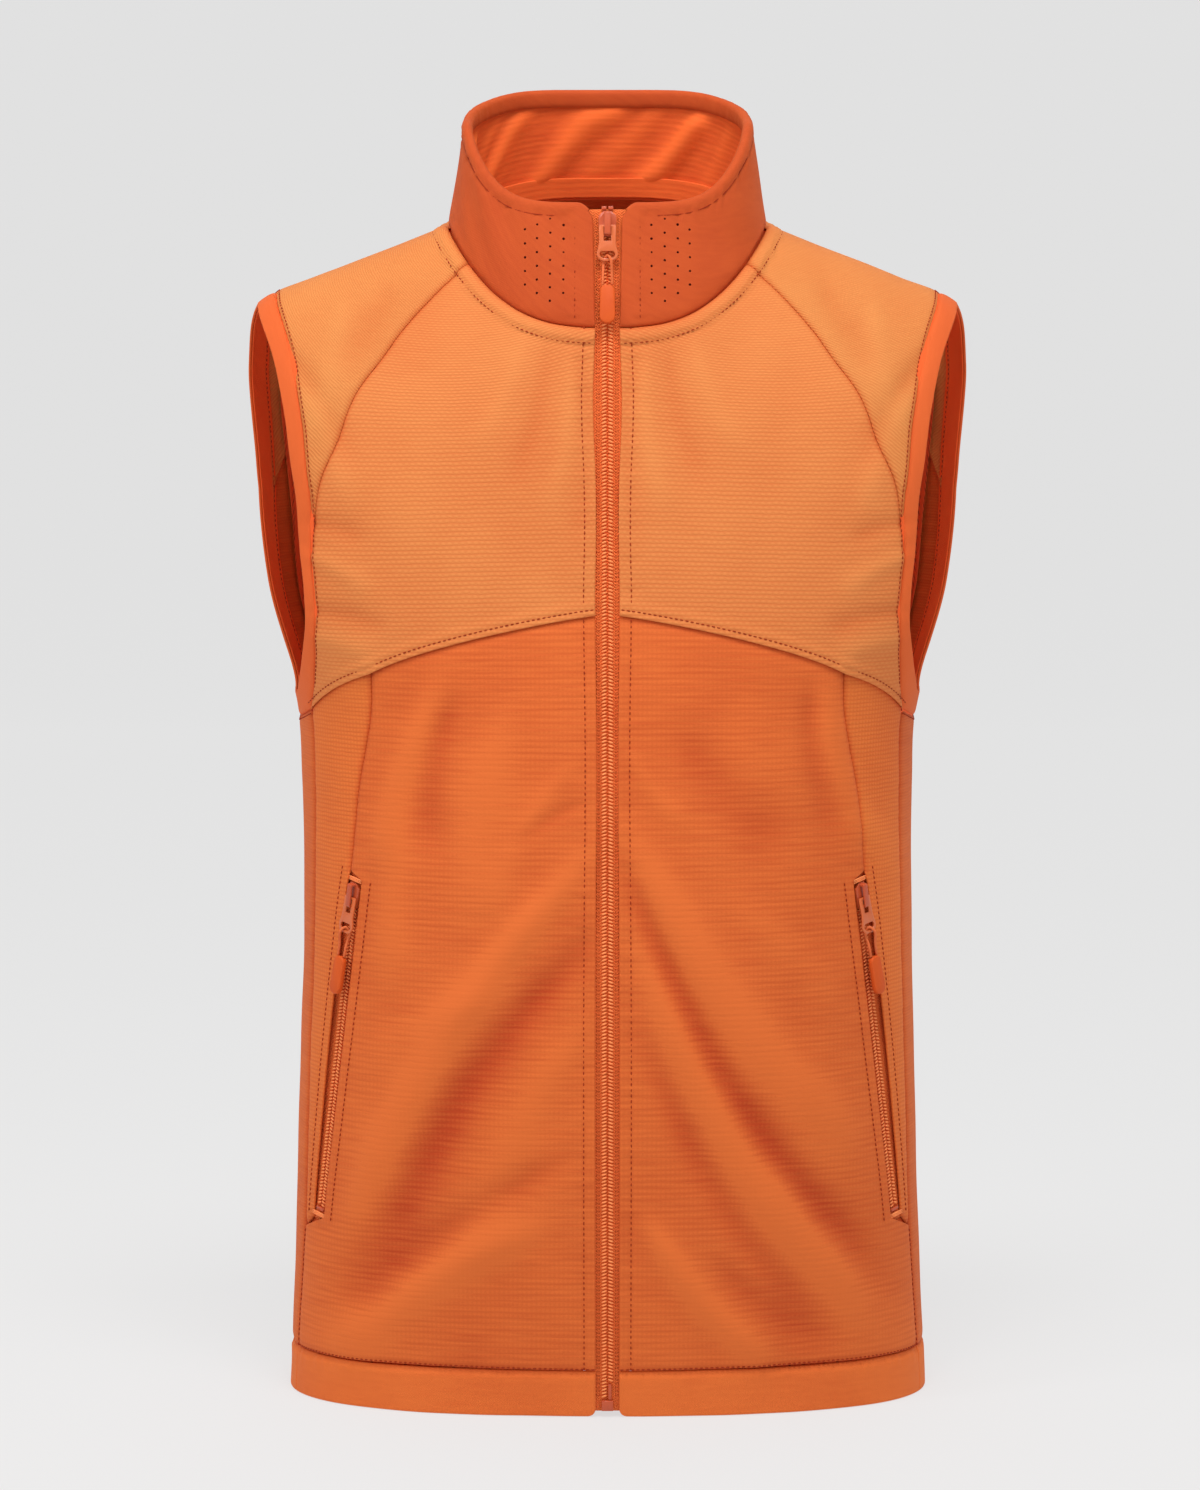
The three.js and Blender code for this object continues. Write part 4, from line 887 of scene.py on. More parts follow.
def stitchRow(line, offset, height, side, pitch=3.2, surface=body, folds=True, ends=(0, 1)):
    p = surface(*np.moveaxis(along(line, np.linspace(ends[0], ends[1], 500)), -1, 0))
    at = along(line, np.linspace(ends[0], ends[1], 500))
    n = outward(surface, at[:, 0], at[:, 1])
    ahead = np.gradient(p, axis=0)
    ahead /= np.linalg.norm(ahead, axis=1, keepdims=True)
    p = p + np.cross(n, ahead) * offset
    run = np.concatenate([[0], np.cumsum(np.linalg.norm(np.diff(p, axis=0), axis=1))])
    s = np.arange(pitch / 2, run[-1], pitch)
    pick = [np.stack([np.interp(s, run, v[:, k]) for k in range(3)], -1) for v in (p, ahead, n)]
    lift = height + clothRelief(pick[0], side) * float(folds)
    pick[0] = pick[0] + pick[2] * lift[:, None]
    if side < 0:
        pick = [v * (-1, 1, 1) for v in pick]
    return pick


def declareCloth(points):
    # works out the flat size of the pattern piece, before any fold or seam shapes it; the size is not kept or
    # passed on
    a, b, c, d = points[:-1, :-1], points[1:, :-1], points[1:, 1:], points[:-1, 1:]
    area = 0.5 * (np.linalg.norm(np.cross(b - a, c - a), axis=-1)
                  + np.linalg.norm(np.cross(c - a, d - a), axis=-1)).sum()
    wide = max(np.linalg.norm(np.diff(points, axis=0), axis=-1).sum(0).max(), 10.5)
    tall = max(np.linalg.norm(np.diff(points, axis=1), axis=-1).sum(1).max(), 10.5, area / wide)
    tall = min(tall, area / wide / 0.31)


# the cut pieces of the shell
chestInner = seamLine([atFront(edgeX, 455), atFront(edgeX, 535), (atFront(edgeX, 613)[0], 1)])
chestTop = seamLine([tuple(chestInner[-1]), (25, 1), (neckEnd[0], 1)])
frontInner = seamLine([atFront(edgeX, hemHeight), atFront(edgeX, 240), atFront(edgeX, 455)])
frontFoot = seamLine([tuple(frontInner[0]), atAngle(35, 27.5), atAngle(76, hemHeight)])
sideFoot = seamLine([tuple(pocketOuter[0]), tuple(sideHigh[0])])
shoulderNeck = seamLine([(neckEnd[0], 1), (90, 1), raglanBackTop])
neckBack = seamLine([raglanBackTop, (180, 1), (360 - raglanBackTop[0], 1)])
clothStep = 2.3


def layOut(spans, step=None, under=((False, False), (False, False))):
    step = step or clothStep
    return spread(spans[0], step, under=under[0]), spread(spans[1], step, under=under[1])


hemDrop = -0.000366  # the hem's lower edge, as a share of the way up


def shellPieces():
    edgeStitch, hemStitch = 6.5, 2.0
    for side, word in ((1, "left"), (-1, "right")):
        us, vs = layOut((150, 195))
        place = patch(single(chestInner), chainOf((bandFront, 5), (raglan, 7)),
                      chainOf((chestSeamIn, 8), (chestSeamOut, 3)),
                      single(chestTop), us, vs)
        seams = [(chestSeamIn, "lap", 3.5), (chestSeamOut, "lap", 3.5), (raglan, "plain", 0),
                 (bandFront, "plain", 0),
                 (chestTop, "stand", standHeight), (chestInner, "fold", edgeStitch)]
        piece = clothPanel(word + "ChestCloth", place, us, vs, seams, cloths["chest"], side,
                           heavyEdge="inner", nodes=[word + "_chest_panel"])
        declareCloth(body(place[..., 0], place[..., 1]))

        us, vs = layOut((150, 430), under=((False, False), (False, True)))
        outer = chainOf((sideLow, 2), (pocketFoot, 1), (pocketInner, 5), (pocketHead, 1), (pocketSeam, 4))
        place = patch(single(frontInner), outer, single(frontFoot), single(chestSeamIn), us, vs)
        seams = [(chestSeamIn, "under", 0), (frontInner, "fold", edgeStitch), (frontFoot, "plain", 0),
                 (sideLow, "plain", 0), (pocketInner, "welt", 0), (pocketSeam, "plain", 0)]
        piece = clothPanel(word + "FrontCloth", place, us, vs, seams, cloths["lower"], side,
                           heavyEdge="inner",
                           nodes=[word + "_front_panel"])
        declareCloth(body(place[..., 0], place[..., 1]))

        us, vs = layOut((62, 345), under=((False, False), (False, True)))
        place = patch(chainOf((pocketOuter, 5), (pocketSeam, 4)), single(sideHigh), single(sideFoot),
                      single(chestSeamOut),
                      us, vs)
        seams = [(chestSeamOut, "under", 0), (sideHigh, "plain", 0), (sideFoot, "plain", 0),
                 (pocketOuter, "welt", 0),
                 (pocketSeam, "plain", 0)]
        piece = clothPanel(word + "SideFrontCloth", place, us, vs, seams, cloths["side"], side,
                           nodes=[word + "_side_front_panel"])
        declareCloth(body(place[..., 0], place[..., 1]))

        us, vs = layOut((120, 200))
        place = patch(single(shoulderNeck), single(bandOver), single(turned(raglan)),
                      single(turned(raglanBack)), us, vs)
        seams = [(raglan, "plain", 0), (raglanBack, "plain", 0), (bandOver, "plain", 0),
                 (shoulderNeck, "stand", standHeight)]
        piece = clothPanel(word + "ShoulderCloth", place, us, vs, seams, cloths["shoulder"], side,
                           nodes=[word + "_shoulder_panel"])
        declareCloth(body(place[..., 0], place[..., 1]))

        vs = spread(hemHeight, 1.9)
        us = spread(180, clothStep)
        first = atFront(edgeX, 10)[0]
        angles = first + (76 - first) * us
        tops = np.array([atAngle(a, hemHeight)[1] for a in angles])
        rises = hemDrop + (tops[:, None] - hemDrop) * vs[None]
        place = np.stack(np.broadcast_arrays(angles[:, None], rises), -1)
        place = roundedCorner(place, body, 4.5, low=True)
        topLine = np.stack([angles, tops], -1)
        seams = [(topLine, "plain", 0), (topLine, "fold", 1.8)]
        piece = clothPanel(word + "HemCloth", place, us, vs, seams, cloths["hem"], side, thickness=1.7,
                           lift=0.15,
                           nodes=[word + "_hem_band_front"])
        declareCloth(body(place[..., 0], place[..., 1]))

        outer = chainOf((turned(bandFront), 5), (bandUnder, 7), (turned(bandOver), 14))
        inner = chainOf((turned(rimFront), 5), (rimUnder, 7), (turned(rimOver), 14))
        us = np.linspace(0, 1, 320)[:-1]
        vs = spread(13, 1.6)
        a, b = outer(us)[:, None], inner(us)[:, None]
        place = a + (b - a) * vs[None, :, None]
        piece = ringPiece(word + "ArmholeBandCloth", place, vs, side, word)
        ring = body(place[..., 0], place[..., 1])
        declareCloth(np.vstack([ring, ring[:1]]))
    print("front, shoulders and bands cut")

    us, vs = layOut((500, 600))
    edge = chainOf((sideLow, 2), (sideHigh, 9), (bandUnder, 7), (raglanBack, 7))
    far = lambda s: edge(s) * (-1, 1) + (360, 0)
    base = seamLine([tuple(sideLow[0]), (180, sideLow[0][1]), (360 - sideLow[0][0], sideLow[0][1])])
    place = patch(edge, far, single(base), single(neckBack), us, vs)
    middle = np.sin(math.pi * np.clip(us, 0, 1))[:, None] ** 0.6
    level = single(base)(us)[:, None, 1] * (1 - vs) + vs
    place[..., 1] = place[..., 1] * (1 - middle) + level * middle
    seams = [(base, "plain", 0), (neckBack, "stand", standHeight)]
    for line in (sideLow, sideHigh, bandUnder, raglanBack):
        seams += [(line, "plain", 0), (farSide(line), "plain", 0)]
    piece = clothPanel("backCloth", place, us, vs, seams, cloths["back"], nodes=["back_panel"])
    declareCloth(body(place[..., 0], place[..., 1]))

    vs = spread(hemHeight, 1.9)
    us = spread(500, clothStep)
    angles = 76 + 208 * us
    tops = np.array([atAngle(a, hemHeight)[1] for a in angles])
    place = np.stack(np.broadcast_arrays(angles[:, None], hemDrop + (tops[:, None] - hemDrop) * vs[None]), -1)
    topLine = np.stack([angles, tops], -1)
    piece = clothPanel("backHemCloth", place, us, vs, [(topLine, "plain", 0), (topLine, "fold", 1.8)],
                       cloths["hem"],
                       thickness=1.7, lift=0.15, nodes=["hem_band_back"])
    declareCloth(body(place[..., 0], place[..., 1]))
    print("back and hem cut")


def roundedCorner(place, surface, radius, low):
    # pulls the corner at the first column in to a quarter round
    points = surface(place[..., 0], place[..., 1])
    uLow, _, vLow, vHigh = runs(points)
    q = vLow if low else vHigh
    a, b = np.clip(1 - uLow / radius, 0, 1), np.clip(1 - q / radius, 0, 1)
    newA, newB = a * np.sqrt(1 - b * b / 2), b * np.sqrt(1 - a * a / 2)
    degree = np.linalg.norm(surface(place[..., 0] + 0.5, place[..., 1])
                            - surface(place[..., 0] - 0.5, place[..., 1]), axis=-1)
    rise = np.linalg.norm(surface(place[..., 0], place[..., 1] + 0.005)
                          - surface(place[..., 0], place[..., 1] - 0.005), axis=-1)
    out = place.copy()
    out[..., 0] += (a - newA) * radius / degree
    out[..., 1] += (b - newB) * radius / (rise / 0.01) * (1 if low else -1)
    return out


def ringPiece(name, place, vs, side, word, thickness=1.5):
    a, t = place[..., 0], place[..., 1]
    points, normals = body(a, t), outward(body, a, t)
    run = np.concatenate([np.zeros((points.shape[0], 1)),
                          np.cumsum(np.linalg.norm(np.diff(points, axis=1), axis=-1), 1)], 1)
    tall = run[:, -1:]
    rim = np.minimum(run, tall - run)
    lengthAround = np.cumsum(np.linalg.norm(np.roll(points, -1, 0) - points, axis=-1), axis=0)
    relief = seamRelief("plain", run, lengthAround, 0)
    relief = relief + 0.6 * clothRelief(points, side) * (1 - smooth(run, 0, 12))
    r = np.clip(rim / (thickness * 0.55), 0, 1)
    half = thickness / 2 * np.sqrt(np.maximum(1 - (1 - r) ** 2, 0.02))
    middle = relief - thickness / 2
    outerP = points + normals * (middle + half)[..., None]
    innerP = points + normals * (middle - half)[..., None]
    cloth = np.stack([lengthAround, run], -1)
    obj = closedSheet(name, outerP[::-1], innerP[::-1], cloth[::-1], cloths["band"], wrap=True,
                      mirror=side < 0)
    turnOut(obj)
    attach(obj, "vest")
    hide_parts(word + "_armhole_band")
    return obj


def turnOut(obj):
    # a closed mesh whose volume comes out negative is inside out
    mesh = obj.data
    mesh.calc_loop_triangles()
    count = len(mesh.loop_triangles)
    tri = np.empty(count * 3, np.int32)
    mesh.loop_triangles.foreach_get("vertices", tri)
    co = np.empty(len(mesh.vertices) * 3, np.float32)
    mesh.vertices.foreach_get("co", co)
    p = co.reshape(-1, 3)[tri.reshape(-1, 3)].astype(float)
    if np.einsum("ij,ij->i", p[:, 0], np.cross(p[:, 1], p[:, 2])).sum() < 0:
        mesh.flip_normals()
    return obj


shellPieces()

# the collar: outer shell rolled over its top, lining, and the tape over the neck seam
collarAround = 430  # about how far the collar runs round the neck
collarSettings = {"thickness": 1.3, "flap": 7.0, "roll": 2.3, "corner": 9.0}


def firstAngle(x):
    return math.degrees(math.asin((x / 91) ** 1.15))


def collarFolds(angle, height):
    soft = 0.7 * np.sin(angle / 17 + height / 22) * np.sin(height / 26 + 0.5)
    soft = soft + 0.35 * np.sin(angle / 6.1 + height / 15)
    radiating = np.exp(-(((angle % 360 - 52) / 26) ** 2)) + np.exp(-(((360 - angle % 360 - 52) / 26) ** 2))
    return soft + 0.8 * radiating * np.sin(angle / 5.2 + height / 9.0) * smooth(height, 0, 22)


def collarLift(angle, fromFoot, fromTop, fromZip):
    lift = collarFolds(angle, fromFoot)
    lift = lift * smooth(fromFoot, 0, 8) * smooth(fromTop, 0, 10) * smooth(fromZip, 2, 14)
    return lift + 0.7 * (1 - smooth(np.minimum(fromTop - 5.2, fromZip - 11.5), -1.5, 1.5))


def collarShell():
    s = collarSettings
    first = firstAngle(edgeX)
    us = spread(collarAround, 1.9)
    vs = spread(62, 2.2, nearEnd=False)
    place = np.stack(np.broadcast_arrays((first + (360 - 2 * first) * us)[:, None],
                                         (0.005 + 0.995 * vs)[None]), -1)
    place = roundedCorner(place, collar, s["corner"], low=False)
    flipped = roundedCorner(place[::-1] * (-1, 1) + (360, 0), collar, s["corner"], low=False)
    place = (flipped * (-1, 1) + (360, 0))[::-1]
    a, u = place[..., 0], place[..., 1]
    base = collar(a, u)
    n = outward(collar, a, np.clip(u, 0.003, 0.997))
    uLow, uHigh, vLow, vHigh = runs(base)
    fromZip = np.minimum(uLow, uHigh)
    rim = np.minimum(fromZip, np.minimum(vLow, vHigh))
    relief = collarLift(a, vLow, vHigh, fromZip)
    relief += seamRelief("plain", vLow, uLow, 0)
    topStitch = seamRelief("fold", vHigh, uLow, 5.2) * smooth(fromZip, 10, 13) * 1.5
    sideStitch = seamRelief("fold", fromZip, vLow, 11.5) * smooth(vHigh, 3, 6)
    relief += topStitch + sideStitch
    half0 = s["thickness"] / 2
    r = np.clip(np.minimum(fromZip, vLow) / (s["thickness"] * 0.55), 0, 1)
    half = half0 * np.sqrt(np.maximum(1 - (1 - r) ** 2, 0.02))
    middle = base + n * (relief - half0)[..., None]
    outs = n.copy()
    # the roll over the top edge, then the flap down inside
    edge, edgeN = middle[:, -1], n[:, -1]
    alongEdge = np.gradient(base[:, -1], axis=0)
    alongEdge /= np.linalg.norm(alongEdge, axis=1, keepdims=True)
    upward = np.cross(edgeN, alongEdge)
    upward *= np.sign(upward[:, 2:3] + 1e-9)
    nearZip = smooth(fromZip[:, -1], 0.5, 7)[:, None]
    roll = s["roll"] * (0.25 + 0.75 * nearZip)
    rows, rowOuts, rowHalf, rowRun = [], [], [], []
    top = vLow[:, -1]
    for phi in np.linspace(0, math.pi, 9)[1:]:
        rows.append(edge + upward * roll * math.sin(phi) - edgeN * roll * (1 - math.cos(phi)))
        rowOuts.append(edgeN * math.cos(phi) + upward * math.sin(phi))
        rowHalf.append(half[:, -1])
        rowRun.append(top + roll[:, 0] * phi)
    lastRow = rows[-1]
    downs = np.array([0.8, 1.8, 2.8, 3.8, 4.8, 5.6, 6.3, 6.8, 7.0]) / 7.0 * s["flap"]
    for down in downs:
        lifted = 0.35 * math.sin(down / 7 * math.pi)
        rows.append(lastRow - upward * down * (0.3 + 0.7 * nearZip) - edgeN * lifted)
        rowOuts.append(-edgeN)
        rowHalf.append(half[:, -1] * (1 if down < s["flap"] - 0.8 else 0.55 if down < s["flap"] else 0.2))
        rowRun.append(top + roll[:, 0] * math.pi + down)
    middle = np.concatenate([middle, np.stack(rows, 1)], 1)
    outs = np.concatenate([outs, np.stack(rowOuts, 1)], 1)
    half = np.concatenate([half, np.stack(rowHalf, 1)], 1)
    run = np.concatenate([vLow, np.stack(rowRun, 1)], 1)
    cloth = np.stack([np.broadcast_to(uLow[:, :1] + us[:, None] * collarAround, run.shape), run], -1)
    piece = closedSheet("collarCloth", middle + outs * half[..., None], middle - outs * half[..., None],
                        cloth,
                        cloths["collar"])
    turnOut(piece)
    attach(piece, "vest")
    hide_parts("collar_shell")
    declareCloth(middle)


def onCollar(x, down, side):
    # a place on the collar a given way from the zip's middle and below the top edge
    angle = math.degrees(math.asin((x / 88) ** 1.15))
    for _ in range(5):
        top = collar(np.array(angle), 1.0)
        foot = collar(np.array(angle), 0.0)
        u = 1 - down / np.linalg.norm(top - foot)
        angle *= x / collar(np.array(angle), u)[0]
    p = collar(np.array(angle), u)
    n = outward(collar, np.array(angle), u)
    across = collar(np.array(angle + 0.5), u) - p
    across /= np.linalg.norm(across)
    shown = angle if side > 0 else 360 - angle
    p = p + n * float(collarLift(np.array(shown), np.linalg.norm(top - foot) - down, down, x - edgeX))
    flip = np.array((side, 1, 1))
    return p * flip, across * flip, n * flip


collarShell()


def collarTrim():
    holes, stitches = [], []
    columns = ((24.6, 10.5, 6), (32.0, 7.2, 7), (39.3, 10.8, 6), (46.0, 14.5, 5))
    for side in (1, -1):
        for x, top, count in columns:
            for k in range(count):
                holes.append(onCollar(x, top + 7.8 * k, side))
        for down in np.arange(8.5, 64, 3.2):
            p, across, n = onCollar(18.2, down, side)
            up = np.cross(n, across)
            stitches.append((p - n * 0.3, up, n))
    holeRows = [np.array(v) for v in zip(*holes)]
    holeRows[0] = holeRows[0] - holeRows[2] * 0.12
    # dark marks set on the collar as painted shade in its perforations
    setOut("collarPerforations", [holeRows], (1.55, 1.55, 0.7), hards["perforation"], "band_fabric",
           segments=12, rings=6)
    for side in (1, -1):
        for k in range(150):
            angle = 15 + k * 1.1
            if angle > 180:
                break
            a = np.array(angle)
            height = np.linalg.norm(collar(a, 1.0) - collar(a, 0.0))
            u = 1 - 5.2 / height
            p, n = collar(a, u), outward(collar, a, u)
            across = collar(a + 0.5, u) - p
            across /= np.linalg.norm(across)
            flip = np.array((side, 1, 1))
            shown = a if side > 0 else 360 - a
            p = p + n * float(collarLift(shown, height - 5.2, 5.2, 40.0) - 0.6)
            stitches.append((p * flip, across * flip, n * flip))
    setOut("collarStitches", [[np.array(v) for v in zip(*stitches)]], (2.0, 0.75, 0.8), hards["thread"],
           "band_fabric")


collarTrim()
print("collar made")


# How far inside the shell each lining hangs, and how much more at its middle.
liningHang = {"depth": 3.3, "sag": 6.5, "ease": 34}
bagHang = {"depth": 3.0, "sag": 4.2, "ease": 26}
facingHang = {"depth": 2.1, "half": 0.35, "width": 15.5}
collarLiningDepth = 2.35
neckTapeDepth = 4.9
frontLiningEdge = 13.7  # from the vest's middle
liningFoot = 24  # above the hem's edge


def innerSheet(name, place, depth, thickness, finish, nodes, surface=body, side=1, relief=None):
    # a thin cloth inside the shell, at a depth below its outer face
    a, t = place[..., 0], place[..., 1]
    points, normals = surface(a, t), outward(surface, a, np.clip(t, 0.003, 0.997))
    uLow, uHigh, vLow, vHigh = runs(points)
    rim = np.minimum(np.minimum(uLow, uHigh), np.minimum(vLow, vHigh))
    r = np.clip(rim / (thickness * 0.55), 0, 1)
    half = thickness / 2 * np.sqrt(np.maximum(1 - (1 - r) ** 2, 0.03))
    middle = -(depth(rim) if callable(depth) else np.full(a.shape, depth)) - thickness / 2
    if relief is not None:
        middle = middle - relief(points, a, vLow)
    if surface is body:
        middle = middle + np.minimum(clothRelief(points, side), 0)
    outerP = points + normals * (middle + half)[..., None]
    innerP = points + normals * (middle - half)[..., None]
    cloth = np.stack([uLow, vLow], -1)
    # painted shading follows each lining's folds: its colour is darkened and lightened by how far each place
    # is pushed in
    shade = None if relief is None else 0.6 * relief(points, a, vLow) / 3.1 - 0.2
    piece = closedSheet(name, outerP, innerP, cloth, finish, mirror=side < 0, paintedShading=shade)
    turnOut(piece)
    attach(piece, "vest")
    if nodes:
        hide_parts(*nodes)
    declareCloth(points)
    return piece


# A collar's lining folds across its height; the body's linings crumple; a pocket bag ripples.
def liningWaves(p, a, v):
    wide = 3.1 * np.clip(np.sin(a / 6.4 + v / 10.0 + 0.9 * np.sin(a / 31)), 0, 1) ** 2
    narrow = 1.0 * np.clip(np.sin(a / 3.4 + v / 7.0 + 1.9), 0, 1)
    return (wide + narrow) * smooth(v, 3, 16) * smooth(-v, -60, -46)


def crumple(p, a, v):
    x, z = p[..., 0], p[..., 2]
    return 0.9 * np.sin(x / 15 + 0.8 * np.sin(z / 31)) * np.sin(z / 27)


def ripple(p, a, v):
    return 0.3 * np.sin(p[..., 2] / 19)


def hungAt(hang):
    return lambda rim: hang["depth"] + hang["sag"] * smooth(rim, 0, hang["ease"])


def linings():
    first = firstAngle(frontLiningEdge)
    us, vs = spread(410, 3.0), spread(60, 2.2)
    place = np.stack(np.broadcast_arrays((first + (360 - 2 * first) * us)[:, None],
                                         (-0.06 + 1.035 * vs)[None]), -1)
    innerSheet("collarLiningCloth", place, collarLiningDepth, 0.8, cloths["ribbed"],
               ["collar_lining"], collar, relief=liningWaves)
    us, vs = spread(190, 2.4), spread(9, 1.5)
    place = np.stack(np.broadcast_arrays((100 + 160 * us)[:, None], (-0.03 + 0.2 * vs)[None]), -1)
    innerSheet("neckTapeCloth", place, neckTapeDepth, 0.7, cloths["ribbed"], ["back_neck_tape"],
               collar)
    inner = seamLine([atFront(frontLiningEdge, z) for z in (liningFoot, 150, 270, 380, 470, 560, 600)])
    outer = seamLine([atAngle(74, liningFoot), atAngle(72.5, 90), atAngle(71, 210), atAngle(70.5, 270),
                      atAngle(69.5, 330), atAngle(67, 380), (54, 0.61), (46, 0.655), (42.5, 0.71), (38, 0.80), (50, 0.972)])
    us, vs = spread(150, 4), spread(600, 4)
    place = patch(single(inner), single(outer), single(seamLine([tuple(inner[0]), tuple(outer[0])])),
                  single(seamLine([tuple(inner[-1]), tuple(outer[-1])])), us, vs)
    for side, word in ((1, "left"), (-1, "right")):
        innerSheet(word + "FrontLiningCloth", place, hungAt(liningHang), 0.8, cloths["mesh"],
                   [word + "_front_lining"], side=side, relief=crumple)
    edge = seamLine([atAngle(76.5, liningFoot), atAngle(75, 90), atAngle(74, 150), atAngle(73, 270),
                     atAngle(72, 330), (76, 0.548), (102, 0.565), (113, 0.62), (119.5, 0.69), (121, 0.76),
                     (121, 0.83), (122, 0.9), (124, 0.975)])
    us, vs = spread(460, 4.5), spread(640, 4.5)
    far = lambda s: along(edge, s) * (-1, 1) + (360, 0)
    foot = seamLine([tuple(edge[0]), (180, edge[0][1]), (360 - edge[0][0], edge[0][1])])
    top = seamLine([tuple(edge[-1]), (180, 0.975), (360 - edge[-1][0], 0.975)])
    place = patch(single(edge), far, single(foot), single(top), us, vs)
    middle = np.sin(math.pi * np.clip(us, 0, 1))[:, None] ** 0.6
    place[..., 1] = place[..., 1] * (1 - middle) + (edge[0][1] * (1 - vs) + 0.975 * vs)[None] * middle
    innerSheet("backLiningCloth", place, hungAt(liningHang), 0.8, cloths["mesh"], ["back_lining"],
               relief=crumple)
    us, vs = spread(130, 4), spread(274, 4)
    heights = 58 + 274 * vs
    place = np.array([[atAngle(20 + ((74.5 - 8.5 * (z - 58) / 274) - 20) * u, z) for z in heights]
                      for u in us])
    for side, word in ((1, "left"), (-1, "right")):
        innerSheet(word + "PocketBagCloth", place, hungAt(bagHang), 0.6, cloths["facing"],
                   [word + "_pocket_bag"], side=side, relief=ripple)
    # the smooth facing turned in behind each armhole
    outer = chainOf((turned(bandFront), 5), (bandUnder, 7), (turned(bandOver), 14))
    rim = chainOf((turned(rimFront), 5), (rimUnder, 7), (turned(rimOver), 14))
    us = np.linspace(0, 1, 260)[:-1]
    a, b = outer(us)[:, None], rim(us)[:, None]
    vs = spread(facingHang["width"], 1.8)
    place = b + (a - b) * (0.06 + 1.14 * vs[None, :, None])
    for side, word in ((1, "left"), (-1, "right")):
        a, t = place[..., 0], place[..., 1]
        points, normals = body(a, t), outward(body, a, t)
        _, _, vLow, vHigh = runs(points)
        r = np.clip(np.minimum(vLow, vHigh) / 0.4, 0, 1)
        half = facingHang["half"] * np.sqrt(np.maximum(1 - (1 - r) ** 2, 0.03))
        around = np.cumsum(np.linalg.norm(np.roll(points, -1, 0) - points, axis=-1), axis=0)
        piece = closedSheet(word + "ArmholeFacing",
                            points + normals * (half - facingHang["depth"])[..., None],
                            points + normals * (-half - facingHang["depth"])[..., None],
                            np.stack([around, vLow], -1), cloths["facing"],
                            wrap=True, mirror=side < 0)
        turnOut(piece)
        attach(piece, "vest")
        declareCloth(np.vstack([points, points[:1]]))


linings()
print("linings hung")


# zips: tapes, coils and the sewing along them
def mainFrames(z):
    phi = np.arcsin((np.asarray(z, float) - zipArc["height"]) / zipArc["radius"])
    zero = np.zeros_like(phi)
    centre = zipArc["radius"] - zipArc["belly"]
    heights = zipArc["height"] + zipArc["radius"] * np.sin(phi)
    origin = np.stack([zero, centre - zipArc["radius"] * np.cos(phi), heights], -1)
    return origin, np.stack([zero + 1, zero, zero], -1), np.stack([zero, -np.cos(phi), np.sin(phi)], -1)


def pocketFrames(s):
    s = np.asarray(s, float)
    origin = pocketLow + pocketUp * s[:, None] - pocketOut * pocketZip["sink"]
    return origin, np.broadcast_to(pocketAcross, origin.shape), np.broadcast_to(pocketOut, origin.shape)


def tapeSheet(name, frames, xs, top, thickness, side, nodes):
    origin, across, out = frames
    middle = top - thickness / 2
    points = origin[None] + across[None] * xs[:, None, None] + out[None] * middle[..., None]
    turn = np.cross(np.gradient(points, axis=0), np.gradient(points, axis=1))
    n = turn / np.linalg.norm(turn, axis=-1, keepdims=True)
    n = n * np.sign((n * out[None]).sum(-1, keepdims=True))
    uLow, uHigh, vLow, vHigh = runs(points)
    r = np.clip(np.minimum(uLow, uHigh) / (thickness * 0.55), 0, 1)
    half = thickness / 2 * np.sqrt(np.maximum(1 - (1 - r) ** 2, 0.03))
    cloth = np.stack(np.broadcast_arrays(np.abs(xs)[:, None], vLow), -1)
    piece = closedSheet(name, points + n * half[..., None], points - n * half[..., None], cloth,
                        cloths["tape"],
                        mirror=side < 0)
    turnOut(piece)
    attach(piece, "vest")
    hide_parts(*nodes)
    declareCloth(points)


def toothRows(frames, x, n, slant, side):
    origin, across, out = frames
    up = np.cross(across, out) * -1
    up = up * np.sign(up[:, 2:3])
    p = origin + across * x + out * n
    lie = across * math.cos(slant) + up * math.sin(slant)
    flip = (side, 1, 1)
    return [p * flip, lie * flip, out * flip]


